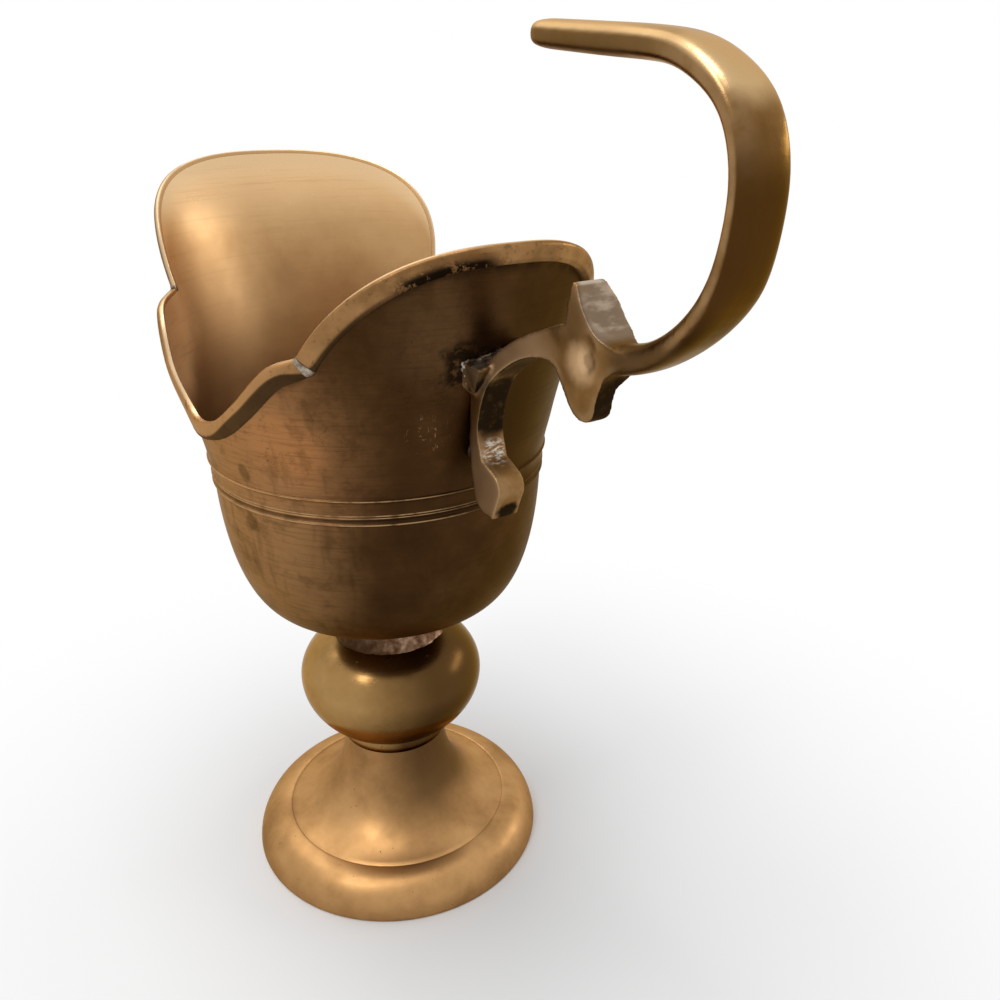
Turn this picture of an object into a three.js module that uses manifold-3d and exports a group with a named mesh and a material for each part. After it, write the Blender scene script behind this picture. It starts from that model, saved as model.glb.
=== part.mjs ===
// A brass helmet ewer: a turned trumpet foot, a ball knop and a flaring bowl, a lip in four lengths soldered
// round the four-lobed rim, and a cast strap handle on a scroll bracket that is soldered to the bowl.
// Millimetres, +Z up, handle towards +X, spout towards -X, standing on z = 0.
import * as THREE from 'three';
import { mergeVertices } from 'three/addons/utils/BufferGeometryUtils.js';
import Module from 'manifold-3d';

const wasm = await Module();
wasm.setup();

// Fit between any two pieces that touch
const CLEARANCE = 0.3;

// Foot
const FOOT_RADIUS = 48.4;
const FOOT_HEIGHT = 40.4;
const FOOT_WALL = 3.2;
const SKIRT_HEIGHT = 11.7;
const LINE_RADIUS = 36.9;
const LINE_DEPTH = 0.6;
const NECK_RADIUS = 17;
const FLARE_START = 13;
const FLARE_END = 15;
const NECK_FLOOR = 8;
const FOOT_SPIGOT_RADIUS = 9;
const FOOT_SPIGOT_LENGTH = 10;

// Knop
const KNOP_RADIUS = 29.6;
const KNOP_LOWER = 22.8;
const KNOP_UPPER = 19.8;
const COLLAR_RADIUS = 17.6;
const COLLAR_HEIGHT = 4;
const KNOP_TOP_RADIUS = 17.5;

// Bowl: heights are above the seat on the knop, and radii are outside the wall
const WALL = 1.6;
const BOSS_RADIUS = 9;
const BOSS_LENGTH = 10;
const STEM_RADIUS = 15.5;
const STEM_HEIGHT = 5.5;
const BASE_RADIUS = 34.8;
const BASE_HEIGHT = 14.5;
const BASE_CROWN = 1.2;
const BODY_RADIUS = 48.2;
const BODY_HEIGHT = 53.5;
const BODY_LOWER_BEND = new THREE.Vector2(7, 2.6);
const BODY_UPPER_BEND = new THREE.Vector2(1.2, 22);
const BAND_RIDGE_HEIGHT = 3.4;
const BELT_RADIUS = 50;
const BELT_HEIGHT = 65;
const BEAD = 0.6;
const FLARE_HEIGHT = 79.4;
const FLARE_RADIUS = 66.6;
const REAR_FLARE_RADIUS = 74.6;
const FLARE_BEND = new THREE.Vector2(1.9, 21.2);
const FLOOR = 6;
const FLOOR_FLAT = 0.6;

// Rim: turns are degrees from the handle, and heights are above the belt
const REAR_CUSP_TURN = 45;
const FRONT_CUSP_TURN = 130;
const REAR_CUSP_HEIGHT = 38.7;
const REAR_LOBE_HEIGHT = 25.1;
const REAR_LOBE_POWER = 2.55;
const FRONT_CUSP_HEIGHT = 43.2;
const SPOUT_LOBE_HEIGHT = 34.9;
const SPOUT_LOBE_POWER = 2.5;
const SIDE_SHOULDER_DROP = 3.4;
const SIDE_LOW_HEIGHT = 15.4;
const SIDE_LOW_TURN = 90;

// Bends of the dipped side lobe, as shares of the way from a cusp to the low point
const REAR_SHOULDER = 0.19;
const REAR_SLOPE = 0.48;
const REAR_DIP = 0.78;
const FRONT_SHOULDER = 0.37;
const FRONT_SLOPE = 0.6;
const FRONT_DIP = 0.82;
const DIP_RISE = 0.12;

// Lip strip on the rim
const LIP_OVERHANG = 1.1;
const LIP_HEIGHT = 4.6;
const LIP_CAP = 1.2;
const LIP_ROUND = 0.4;
const CUSP_SOLDER_REACH = 1.6;

// Handle: outlines are measured outwards and upwards from the middle of the lug's seat on the wall
const LUG_HEIGHT = 33.4;
const LUG_BREADTH = 15;
const LUG_TOP = 5.4;
const LUG_BOTTOM = -6;
const LUG_DEPTH = 7;
const LUG_FOOT_REACH = -0.3;
const LUG_TOP_REACH = 7.4;
const BRACKET_BREADTH = 7.6;
const STRAP_BREADTH = 12.6;
const STRAP_ROOT_BREADTH = 7.4;
const STRAP_ROOT_THICKNESS = 6.4;
const STRAP_THICKNESS = 3;
const STRAP_TIP_THICKNESS = 4.6;
const STRAP_CORNER_POWER = 4;
const STRAP_ROOT_SHARE = 0.3;
const STRAP_TIP_SHARE = 0.45;
const STRAP_TIP_ROUND_SHARE = 0.9;
const SPUR_BACK = [[34.2, 25.6], [33.4, 17.4]];
const SCROLL_BACK = [
  [26.4, 15], [14, 9.7], [2.5, 1.4], [-2.1, -6], [-2.9, -14], [-2.7, -25], [-0.8, -33.2], [2.2, -35.7],
];
const HEEL_SOLE = [[7.4, -32.6], [9.8, -28.4], [8.5, -25.2]];
const SCROLL_INSIDE = [[2.4, -22], [0.9, -14], [4.8, -3], [13.5, 4.2], [22, 7.7], [28.5, 7.7]];
const DROP = [[32.2, 3.4], [35.6, -1.1], [38.4, -2.1], [41, 0], [41.9, 4], [44.6, 8.2]];
const STRAP_LANDING = [52.7, 13.4];
const SPUR_FRONT = [[45.2, 15.2], [41.6, 17.4], [38.9, 21.2], SPUR_BACK[0]];
const STRAP_ROUTE = [
  [41.7, 10.8], [54.3, 14.1], [63, 19], [69, 24.4], [73.3, 31], [75.9, 43.3], [75, 50.8],
  [71, 58.3], [61, 64.7], [53, 66.4], [40, 67.8], [19.2, 70.2],
];
const LUG_SOLDER_WIDTH = 1.2;
const SOLDER_THICKNESS = 1.2;
const BACK_SOLDER_BREADTH = 5;
const BACK_SOLDER_TOP = -12;
const BACK_SOLDER_BOTTOM = -24;
const BACK_SOLDER_REACH = -1.3;
const KNOP_SOLDER_WIDTH = 5;
const KNOP_SOLDER_HEIGHT = 3.6;

// Fineness of the round shapes, and the longest sliver that a cut may leave
const SLIVER = 0.02;
const TURNED_SIDES = 40;
const CURVE_STEPS = 8;
const WALL_STEPS = 6;
const BALL_STEPS = 14;
const PLATE_STEPS = 3;
const ENVELOPE_STEPS = 24;
const ENVELOPE_SIDES = 96;
const SHARPEST_MITRE = 0.5;
const REAR_STEPS = 7;
const SIDE_STEPS = 14;
const SPOUT_STEPS = 9;
const STRAP_STEPS = 30;
const STRAP_SIDES = 12;

const v2 = (x, y) => new THREE.Vector2(x, y);
const radians = THREE.MathUtils.degToRad;

const brass = (color, roughness) => new THREE.MeshStandardMaterial({ color, roughness, metalness: 1 });
const TURNED_BRASS = brass(0xa77b45, 0.34);
const BOWL_BRASS = brass(0x8a6134, 0.42);
const LIP_BRASS = brass(0x9a7040, 0.4);
const HANDLE_BRASS = brass(0xa2773f, 0.3);
const SOLDER = brass(0xb5aba0, 0.45);

// Moves each point of a path to the right of the way it runs, with mitred corners.
function sideways(path, distance) {
  return path.map((point, i) => {
    const before = path[Math.max(i - 1, 0)];
    const after = path[Math.min(i + 1, path.length - 1)];
    const arriving = (i > 0 ? point.clone().sub(before) : after.clone().sub(point)).normalize();
    const leaving = (i < path.length - 1 ? after.clone().sub(point) : arriving.clone()).normalize();
    const along = arriving.clone().add(leaving).normalize();
    const mitre = distance / Math.max(along.dot(arriving), SHARPEST_MITRE);
    return point.clone().add(v2(along.y, -along.x).multiplyScalar(mitre));
  });
}

// A solid of revolution about Z from a profile of radius and height that runs up the outside.
function turned(profile, sides = TURNED_SIDES) {
  return new THREE.LatheGeometry(profile, sides).rotateX(Math.PI / 2);
}

// Height on a flattened ball at one radius, above or below its middle.
function ballRise(radius, ballRadius, semiHeight) {
  return semiHeight * Math.sqrt(1 - (radius / ballRadius) ** 2);
}

// Points on a flattened ball between two radii, from its lower to its upper part.
function ballProfile(middle, fromRadius, toRadius) {
  const from = -Math.acos(fromRadius / KNOP_RADIUS);
  const to = Math.acos(toRadius / KNOP_RADIUS);
  return Array.from({ length: BALL_STEPS + 1 }, (_, i) => {
    const turn = from + ((to - from) * i) / BALL_STEPS;
    const semiHeight = turn < 0 ? KNOP_LOWER : KNOP_UPPER;
    return v2(KNOP_RADIUS * Math.cos(turn), middle + semiHeight * Math.sin(turn));
  });
}

// Turns a geometry into a solid that can be joined and cut.
function toSolid(geometry) {
  const bare = geometry.clone();
  bare.deleteAttribute('normal');
  bare.deleteAttribute('uv');
  const merged = mergeVertices(bare, 1e-4);
  const mesh = new wasm.Mesh({
    numProp: 3,
    vertProperties: new Float32Array(merged.attributes.position.array),
    triVerts: new Uint32Array(merged.index.array),
  });
  return new wasm.Manifold(mesh);
}

// Turns a joined or cut solid back into a geometry.
function toGeometry(solid) {
  const mesh = solid.simplify(SLIVER).getMesh();
  const geometry = new THREE.BufferGeometry();
  geometry.setAttribute('position', new THREE.BufferAttribute(mesh.vertProperties, 3));
  geometry.setIndex(new THREE.BufferAttribute(mesh.triVerts, 1));
  geometry.computeVertexNormals();
  return geometry;
}

// Carries each vertex of a geometry to a new place.
function remap(geometry, place) {
  const position = geometry.attributes.position;
  for (let i = 0; i < position.count; i += 1) {
    const moved = place(position.getX(i), position.getY(i), position.getZ(i), i);
    position.setXYZ(i, moved.x, moved.y, moved.z);
  }
  return geometry;
}

// Stacking heights
const knopSeat = FOOT_HEIGHT + CLEARANCE;
const knopMiddle = knopSeat + COLLAR_HEIGHT + ballRise(COLLAR_RADIUS, KNOP_RADIUS, KNOP_LOWER);
const knopTop = knopMiddle + ballRise(KNOP_TOP_RADIUS, KNOP_RADIUS, KNOP_UPPER);
const bowlSeat = knopTop + CLEARANCE;
const beltZ = bowlSeat + BELT_HEIGHT;

// The trumpet foot: a rounded skirt, an incised line, a concave flare and a spigot for the knop.
function footGeometry() {
  const skirtReach = FOOT_RADIUS - LINE_RADIUS;
  const skirt = new THREE.EllipseCurve(LINE_RADIUS, 0, skirtReach, SKIRT_HEIGHT, 0, Math.PI / 2);
  const flare = new THREE.CubicBezierCurve(
    v2(LINE_RADIUS - LINE_DEPTH, SKIRT_HEIGHT),
    v2(LINE_RADIUS - FLARE_START, SKIRT_HEIGHT + FLARE_START / 3),
    v2(NECK_RADIUS, FOOT_HEIGHT - FLARE_END),
    v2(NECK_RADIUS, FOOT_HEIGHT),
  );
  const skirtPoints = skirt.getPoints(CURVE_STEPS);
  const line = v2(LINE_RADIUS - LINE_DEPTH / 2, SKIRT_HEIGHT - LINE_DEPTH);
  const flarePoints = flare.getPoints(CURVE_STEPS);
  const outside = [...skirtPoints, line, ...flarePoints];
  const ceiling = FOOT_HEIGHT - NECK_FLOOR;
  const inside = sideways([...skirtPoints.slice(0, -1), ...flarePoints.slice(1)], -FOOT_WALL)
    .filter((point) => point.y < ceiling - FOOT_WALL);
  inside[0].y = 0;
  return turned([
    v2(0, ceiling),
    v2(inside.at(-1).x, ceiling),
    ...inside.reverse(),
    ...outside,
    v2(FOOT_SPIGOT_RADIUS, FOOT_HEIGHT),
    v2(FOOT_SPIGOT_RADIUS, FOOT_HEIGHT + FOOT_SPIGOT_LENGTH),
    v2(0, FOOT_HEIGHT + FOOT_SPIGOT_LENGTH),
  ]);
}

// The ball knop on its collar, bored from below for the foot's spigot and from above for the bowl's boss.
function knopGeometry() {
  const lowerBore = FOOT_SPIGOT_RADIUS + CLEARANCE;
  const lowerEnd = knopSeat + FOOT_SPIGOT_LENGTH + CLEARANCE;
  const upperBore = BOSS_RADIUS + CLEARANCE;
  const upperEnd = knopTop - BOSS_LENGTH - CLEARANCE;
  return turned([
    v2(0, lowerEnd),
    v2(lowerBore, lowerEnd),
    v2(lowerBore, knopSeat),
    v2(COLLAR_RADIUS, knopSeat),
    ...ballProfile(knopMiddle, COLLAR_RADIUS, KNOP_TOP_RADIUS),
    v2(upperBore, knopTop),
    v2(upperBore, upperEnd),
    v2(0, upperEnd),
  ]);
}

// The bowl's outside above the belt, as a curve of radius and height, at one radius of its top.
const flareCurve = (topRadius) => new THREE.QuadraticBezierCurve(
  v2(BELT_RADIUS, beltZ),
  v2(BELT_RADIUS + FLARE_BEND.x, beltZ + FLARE_BEND.y),
  v2(topRadius, beltZ + FLARE_HEIGHT),
);

// Radius of the bowl's outside at a height above the belt and a turn from the handle. The back flares more.
function wallRadius(z, turn) {
  const { smoothstep, lerp } = THREE.MathUtils;
  const towardsSpout = smoothstep(Math.abs(turn), radians(REAR_CUSP_TURN), radians(SIDE_LOW_TURN));
  const curve = flareCurve(lerp(REAR_FLARE_RADIUS, FLARE_RADIUS, towardsSpout));
  const a = FLARE_HEIGHT - 2 * FLARE_BEND.y;
  const b = 2 * FLARE_BEND.y;
  const height = Math.max(z - beltZ, 0);
  const share = (-b + Math.sqrt(b * b + 4 * a * height)) / (2 * a);
  return curve.getPoint(share).x;
}

// Half of the rim from the handle to the spout, as arc length at the belt's radius and height.
function halfRim() {
  const arc = (turn) => radians(turn) * BELT_RADIUS;
  const rear = Array.from({ length: REAR_STEPS }, (_, i) => {
    const turn = (REAR_CUSP_TURN * i) / REAR_STEPS;
    const drop = (turn / REAR_CUSP_TURN) ** REAR_LOBE_POWER;
    return v2(arc(turn), beltZ + REAR_CUSP_HEIGHT + REAR_LOBE_HEIGHT * (1 - drop));
  });
  const low = beltZ + SIDE_LOW_HEIGHT;
  const rearShoulder = beltZ + REAR_CUSP_HEIGHT - SIDE_SHOULDER_DROP;
  const frontShoulder = beltZ + FRONT_CUSP_HEIGHT - SIDE_SHOULDER_DROP;
  const rearSpan = SIDE_LOW_TURN - REAR_CUSP_TURN;
  const frontSpan = FRONT_CUSP_TURN - SIDE_LOW_TURN;
  const side = new THREE.SplineCurve([
    v2(arc(REAR_CUSP_TURN), beltZ + REAR_CUSP_HEIGHT),
    v2(arc(REAR_CUSP_TURN + REAR_SHOULDER * rearSpan), rearShoulder),
    v2(arc(REAR_CUSP_TURN + REAR_SLOPE * rearSpan), (rearShoulder + low) / 2),
    v2(arc(REAR_CUSP_TURN + REAR_DIP * rearSpan), low + DIP_RISE * (rearShoulder - low)),
    v2(arc(SIDE_LOW_TURN), low),
    v2(arc(FRONT_CUSP_TURN - FRONT_DIP * frontSpan), low + DIP_RISE * (frontShoulder - low)),
    v2(arc(FRONT_CUSP_TURN - FRONT_SLOPE * frontSpan), (frontShoulder + low) / 2),
    v2(arc(FRONT_CUSP_TURN - FRONT_SHOULDER * frontSpan), frontShoulder),
    v2(arc(FRONT_CUSP_TURN), beltZ + FRONT_CUSP_HEIGHT),
  ]).getSpacedPoints(SIDE_STEPS);
  const spout = Array.from({ length: SPOUT_STEPS }, (_, i) => {
    const sweep = (Math.PI / 2) * ((i + 1) / SPOUT_STEPS);
    const across = Math.max(Math.cos(sweep), 0) ** (2 / SPOUT_LOBE_POWER);
    const up = Math.sin(sweep) ** (2 / SPOUT_LOBE_POWER);
    const turn = 180 - (180 - FRONT_CUSP_TURN) * across;
    return v2(arc(turn), beltZ + FRONT_CUSP_HEIGHT + SPOUT_LOBE_HEIGHT * up);
  });
  return [...rear, ...side, ...spout];
}

// Stations all round the rim: the edge, and the way down into the wall from it, straight down at mid-lobe.
const rimHalf = halfRim();
const rimDown = sideways(rimHalf, 1).map((point, i) => point.sub(rimHalf[i]));
rimDown[0].set(0, -1);
rimDown[rimDown.length - 1].set(0, -1);
const rimStation = (i) => {
  const side = Math.sign(i) || 1;
  const edge = rimHalf[Math.abs(i)];
  const down = rimDown[Math.abs(i)];
  return { edge: v2(side * edge.x, edge.y), down: v2(side * down.x, down.y) };
};
const rearCusp = REAR_STEPS;
const frontCusp = REAR_STEPS + SIDE_STEPS;
const spoutMiddle = rimHalf.length - 1;

// The same turn, counted from minus half a turn to half a turn.
const wrapped = (turn) => Math.atan2(Math.sin(turn), Math.cos(turn));

// A point at a station, so far outside the wall and so far down from the edge.
function onRim(station, outwards, downwards) {
  const spot = station.edge.clone().addScaledVector(station.down, downwards);
  const turn = spot.x / BELT_RADIUS;
  const radius = wallRadius(spot.y, wrapped(turn)) + outwards;
  return new THREE.Vector3(radius * Math.cos(turn), radius * Math.sin(turn), spot.y);
}

// The bowl: boss, stem, base ring, round body, beaded belt and a flaring wall that ends under the lip.
function bowlGeometry() {
  const base = v2(BASE_RADIUS, bowlSeat + BASE_HEIGHT);
  const bandFoot = v2(BODY_RADIUS, bowlSeat + BODY_HEIGHT);
  const body = new THREE.CubicBezierCurve(
    base,
    base.clone().add(BODY_LOWER_BEND),
    bandFoot.clone().sub(BODY_UPPER_BEND),
    bandFoot,
  ).getPoints(CURVE_STEPS);
  const stemTop = v2(STEM_RADIUS, bowlSeat + STEM_HEIGHT);
  const bowlBottom = [
    v2(STEM_RADIUS, bowlSeat),
    stemTop,
    stemTop.clone().lerp(base, 0.5).sub(v2(0, BASE_CROWN)),
    base.clone().sub(v2(2 * BEAD, 3 * BEAD)),
    base.clone().add(v2(BEAD / 2, -2 * BEAD)),
    base.clone().add(v2(BEAD / 2, -BEAD)),
  ];
  const band = [
    bandFoot.clone().add(v2(BEAD, BEAD)),
    bandFoot.clone().add(v2(0, 2 * BEAD)),
    bandFoot.clone().add(v2(BEAD, BAND_RIDGE_HEIGHT)),
    bandFoot.clone().add(v2(BEAD / 2, BAND_RIDGE_HEIGHT + BEAD)),
    v2(BODY_RADIUS + BEAD, beltZ - 2 * BEAD),
    v2(BELT_RADIUS + BEAD / 2, beltZ - BEAD),
  ];
  const outside = [...bowlBottom, ...body, ...band];
  const cavity = sideways(body, -WALL).filter((point) => point.y > bowlSeat + STEM_HEIGHT + FLOOR);
  const floor = bowlSeat + STEM_HEIGHT + FLOOR;
  const wallShares = Array.from({ length: WALL_STEPS + 1 }, (_, i) => i / WALL_STEPS);
  const wallOutside = wallShares.map((share) => v2(BELT_RADIUS, beltZ + share));
  const wallInside = wallShares.map((share) => v2(BELT_RADIUS - WALL, beltZ + share)).reverse();
  const profile = [
    v2(0, bowlSeat - BOSS_LENGTH),
    v2(BOSS_RADIUS, bowlSeat - BOSS_LENGTH),
    v2(BOSS_RADIUS, bowlSeat),
    ...outside,
    ...wallOutside,
    ...wallInside,
    ...cavity.reverse(),
    v2(FLOOR_FLAT * cavity.at(-1).x, floor),
    v2(0, floor),
  ];
  const wallStart = 3 + outside.length;
  const wallEnd = wallStart + 2 * wallShares.length;
  const lathe = new THREE.LatheGeometry(profile, 2 * spoutMiddle);
  return remap(lathe, (x, y, z, index) => {
    const column = Math.floor(index / profile.length) - spoutMiddle;
    const row = index % profile.length;
    const station = rimStation(column);
    const top = station.edge.clone().addScaledVector(station.down, LIP_CAP + CLEARANCE);
    const turn = top.x / BELT_RADIUS;
    let { x: radius, y: height } = profile[row];
    if (row >= wallStart && row < wallEnd) {
      const share = height - beltZ;
      height = beltZ + share * (top.y - beltZ);
      radius = wallRadius(height, turn) + (radius - BELT_RADIUS);
    }
    return new THREE.Vector3(radius * Math.cos(turn), radius * Math.sin(turn), height);
  });
}

// The lip's section: a rabbeted strip that caps the wall's edge and hangs a little way down outside it.
function lipSection() {
  const inner = -WALL;
  return new THREE.Shape([
    v2(inner, LIP_ROUND),
    v2(inner + LIP_ROUND, 0),
    v2(LIP_OVERHANG - LIP_ROUND, 0),
    v2(LIP_OVERHANG, LIP_ROUND),
    v2(LIP_OVERHANG, LIP_HEIGHT - LIP_ROUND),
    v2(LIP_OVERHANG - LIP_ROUND, LIP_HEIGHT),
    v2(CLEARANCE, LIP_HEIGHT),
    v2(CLEARANCE, LIP_CAP),
    v2(inner, LIP_CAP),
  ]);
}

// The lip's section carried along a run of stations.
function lipGeometry(stations) {
  const steps = stations.length - 1;
  const run = new THREE.ExtrudeGeometry(lipSection(), { steps, depth: steps, bevelEnabled: false });
  return remap(run, (x, y, z) => onRim(stations[Math.round(z)], x, y));
}

// A station part of the way from one to another, so far along from the first.
function stationAlong(from, to, distance) {
  const share = distance / from.edge.distanceTo(to.edge);
  return { edge: from.edge.clone().lerp(to.edge, share), down: from.down.clone().lerp(to.down, share) };
}

// A run of stations held back from the cusps at its two ends, for the solder.
function heldBack(stations) {
  const held = CUSP_SOLDER_REACH + CLEARANCE;
  const first = stationAlong(stations[0], stations[1], held);
  const last = stationAlong(stations.at(-1), stations.at(-2), held);
  return [first, ...stations.slice(1, -1), last];
}

// The stations of one length of lip between two cusps.
function lipStations(first, last) {
  return heldBack(Array.from({ length: last - first + 1 }, (_, i) => rimStation(first + i)));
}

// The stations of the spout's lip, counted on round past the middle to the far side.
function spoutStations() {
  const near = Array.from({ length: spoutMiddle - frontCusp }, (_, i) => rimStation(frontCusp + i));
  const full = 2 * Math.PI * BELT_RADIUS;
  const far = near.map(({ edge, down }) => ({ edge: v2(full - edge.x, edge.y), down: v2(-down.x, down.y) }));
  return heldBack([...near, rimStation(spoutMiddle), ...far.reverse()]);
}

// The solder that fills the corner between two lengths of lip at a cusp.
function cuspSolderGeometry(cusp) {
  const corner = rimStation(cusp);
  return lipGeometry([
    stationAlong(corner, rimStation(cusp - 1), CUSP_SOLDER_REACH),
    corner,
    stationAlong(corner, rimStation(cusp + 1), CUSP_SOLDER_REACH),
  ]);
}

// Solid space inside the bowl's outside behind the handle, grown by so much, from under the belt upwards.
function wallEnvelope(grown) {
  const curve = flareCurve(REAR_FLARE_RADIUS).getPoints(ENVELOPE_STEPS);
  const wall = curve.map((point) => v2(point.x + grown, point.y));
  const below = v2(BELT_RADIUS + grown, bowlSeat);
  return toSolid(turned([v2(0, below.y), below, ...wall, v2(0, wall.at(-1).y)], ENVELOPE_SIDES));
}

// Where the lug sits on the wall
const lugZ = beltZ + LUG_HEIGHT;
const lugX = wallRadius(lugZ, 0);

// An outline in the handle's plane made into a plate of some breadth, in its place.
function plateGeometry(shape, breadth) {
  const options = { depth: breadth, curveSegments: PLATE_STEPS, bevelEnabled: false };
  const plate = new THREE.ExtrudeGeometry(shape, options);
  plate.translate(0, 0, -breadth / 2);
  return plate.rotateX(Math.PI / 2).translate(lugX, 0, lugZ);
}

const points = (list) => list.map(([x, y]) => v2(x, y));

// The scroll bracket with its upper spur, hanging drop and heel, as one outline in the handle's plane.
function bracketShape() {
  const shape = new THREE.Shape();
  shape.moveTo(...SPUR_BACK[0]);
  shape.lineTo(...SPUR_BACK[1]);
  shape.splineThru(points(SCROLL_BACK));
  shape.splineThru(points(HEEL_SOLE));
  shape.splineThru(points(SCROLL_INSIDE));
  shape.splineThru(points(DROP));
  shape.lineTo(...STRAP_LANDING);
  shape.splineThru(points(SPUR_FRONT));
  return shape;
}

// The lug behind the scroll, reaching into the wall before it is cut to the wall's curve.
function lugShape() {
  return new THREE.Shape(points([
    [-LUG_DEPTH, LUG_TOP], [-LUG_DEPTH, LUG_BOTTOM], [LUG_FOOT_REACH, LUG_BOTTOM], [LUG_TOP_REACH, LUG_TOP],
  ]));
}

// Middle line of the strap from its root on the bracket round to its tip.
const strapLine = new THREE.CatmullRomCurve3(STRAP_ROUTE.map(([x, z]) => new THREE.Vector3(x, 0, z)));

// Thickness and breadth of the strap at a share of its length.
function strapSize(share) {
  const { smoothstep, lerp } = THREE.MathUtils;
  const root = 1 - smoothstep(share, 0, STRAP_ROOT_SHARE);
  const tip = smoothstep(share, 1 - STRAP_TIP_SHARE, 1);
  const middle = lerp(STRAP_THICKNESS, STRAP_ROOT_THICKNESS, root);
  const thickness = lerp(middle, STRAP_TIP_THICKNESS, tip);
  const breadth = lerp(STRAP_BREADTH, STRAP_ROOT_BREADTH, root);
  const roundLength = STRAP_BREADTH / 2 / strapLine.getLength();
  const past = Math.max((share - 1 + roundLength) / roundLength, 0);
  const rounding = Math.sqrt(1 - STRAP_TIP_ROUND_SHARE * past * past);
  return { thickness: thickness * Math.sqrt(rounding), breadth: breadth * rounding };
}

// The strap: a section with rounded corners carried along its middle line.
function strapGeometry() {
  const section = new THREE.Shape(Array.from({ length: STRAP_SIDES }, (_, i) => {
    const turn = (2 * Math.PI * (i + 0.5)) / STRAP_SIDES;
    const rounded = (value) => Math.sign(value) * Math.abs(value) ** (2 / STRAP_CORNER_POWER);
    return v2(rounded(Math.cos(turn)) / 2, rounded(Math.sin(turn)) / 2);
  }));
  const run = new THREE.ExtrudeGeometry(section, { steps: STRAP_STEPS, depth: 1, bevelEnabled: false });
  const placed = remap(run, (across, outwards, share) => {
    const middle = strapLine.getPointAt(share);
    const ahead = strapLine.getTangentAt(share);
    const size = strapSize(share);
    return middle
      .add(new THREE.Vector3(ahead.z, 0, -ahead.x).multiplyScalar(outwards * size.thickness))
      .add(new THREE.Vector3(0, -across * size.breadth, 0));
  });
  return placed.translate(lugX, 0, lugZ);
}

// The handle casting: strap, bracket and lug in one, cut to the bowl's wall.
function handleGeometry() {
  const bracket = toSolid(plateGeometry(bracketShape(), BRACKET_BREADTH));
  const lug = toSolid(plateGeometry(lugShape(), LUG_BREADTH));
  const strap = toSolid(strapGeometry());
  return toGeometry(bracket.add(strap).add(lug).subtract(wallEnvelope(CLEARANCE)));
}

// The solder round the top and sides of the lug, lying on the wall.
function lugSolderGeometry() {
  const half = LUG_BREADTH / 2 + CLEARANCE;
  const top = LUG_TOP + CLEARANCE;
  const foot = LUG_BOTTOM;
  const shape = new THREE.Shape(points([
    [-half - LUG_SOLDER_WIDTH, foot], [-half, foot], [-half, top], [half, top], [half, foot],
    [half + LUG_SOLDER_WIDTH, foot], [half + LUG_SOLDER_WIDTH, top + LUG_SOLDER_WIDTH],
    [-half - LUG_SOLDER_WIDTH, top + LUG_SOLDER_WIDTH],
  ]));
  const block = new THREE.ExtrudeGeometry(shape, { depth: 2 * LUG_BREADTH, bevelEnabled: false });
  remap(block, (x, y, z) => new THREE.Vector3(lugX - LUG_BREADTH + z, x, lugZ + y));
  const skin = wallEnvelope(CLEARANCE + SOLDER_THICKNESS).subtract(wallEnvelope(CLEARANCE));
  return toGeometry(toSolid(block).intersect(skin));
}

// The solder wedge between the scroll's back and the wall, under the lug.
function backSolderGeometry() {
  const shape = new THREE.Shape(points([
    [-2 * LUG_DEPTH, BACK_SOLDER_TOP], [-2 * LUG_DEPTH, BACK_SOLDER_BOTTOM],
    [BACK_SOLDER_REACH, BACK_SOLDER_BOTTOM], [BACK_SOLDER_REACH, BACK_SOLDER_TOP],
  ]));
  const block = toSolid(plateGeometry(shape, BACK_SOLDER_BREADTH));
  const bracket = toSolid(plateGeometry(bracketShape(), BRACKET_BREADTH));
  return toGeometry(block.subtract(wallEnvelope(CLEARANCE)).subtract(bracket.translate([-CLEARANCE, 0, 0])));
}

// The ring of solder on the knop's shoulder, round the bowl's stem.
function knopSolderGeometry() {
  const inner = STEM_RADIUS + CLEARANCE;
  const rim = KNOP_TOP_RADIUS + KNOP_SOLDER_WIDTH;
  const shoulder = (radius) => knopMiddle + ballRise(radius, KNOP_RADIUS, KNOP_UPPER) + 2 * CLEARANCE;
  const middle = (KNOP_TOP_RADIUS + rim) / 2;
  const foot = [v2(inner, shoulder(KNOP_TOP_RADIUS)), v2(KNOP_TOP_RADIUS, shoulder(KNOP_TOP_RADIUS))];
  const outside = [v2(middle, shoulder(middle)), v2(rim, shoulder(rim))];
  const fillet = v2(middle, shoulder(middle) + KNOP_SOLDER_HEIGHT / 3);
  const top = v2(inner, knopTop + KNOP_SOLDER_HEIGHT);
  return turned([...foot, ...outside, fillet, top, foot[0].clone()]);
}

const ewer = new THREE.Group();
function addPiece(name, geometry, material) {
  const piece = new THREE.Mesh(geometry, material);
  piece.name = name;
  ewer.add(piece);
}

addPiece('foot', footGeometry(), TURNED_BRASS);
addPiece('knop', knopGeometry(), TURNED_BRASS);
addPiece('bowl', bowlGeometry(), BOWL_BRASS);
addPiece('rim_strip_handle', lipGeometry(lipStations(-rearCusp, rearCusp)), LIP_BRASS);
addPiece('rim_strip_near', lipGeometry(lipStations(-frontCusp, -rearCusp)), LIP_BRASS);
addPiece('rim_strip_far', lipGeometry(lipStations(rearCusp, frontCusp)), LIP_BRASS);
addPiece('rim_strip_spout', lipGeometry(spoutStations()), LIP_BRASS);
addPiece('cusp_solder_rear_near', cuspSolderGeometry(-rearCusp), SOLDER);
addPiece('cusp_solder_rear_far', cuspSolderGeometry(rearCusp), SOLDER);
addPiece('cusp_solder_front_near', cuspSolderGeometry(-frontCusp), SOLDER);
addPiece('cusp_solder_front_far', cuspSolderGeometry(frontCusp), SOLDER);
addPiece('handle', handleGeometry(), HANDLE_BRASS);
addPiece('lug_solder', lugSolderGeometry(), SOLDER);
addPiece('back_solder', backSolderGeometry(), SOLDER);
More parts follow.
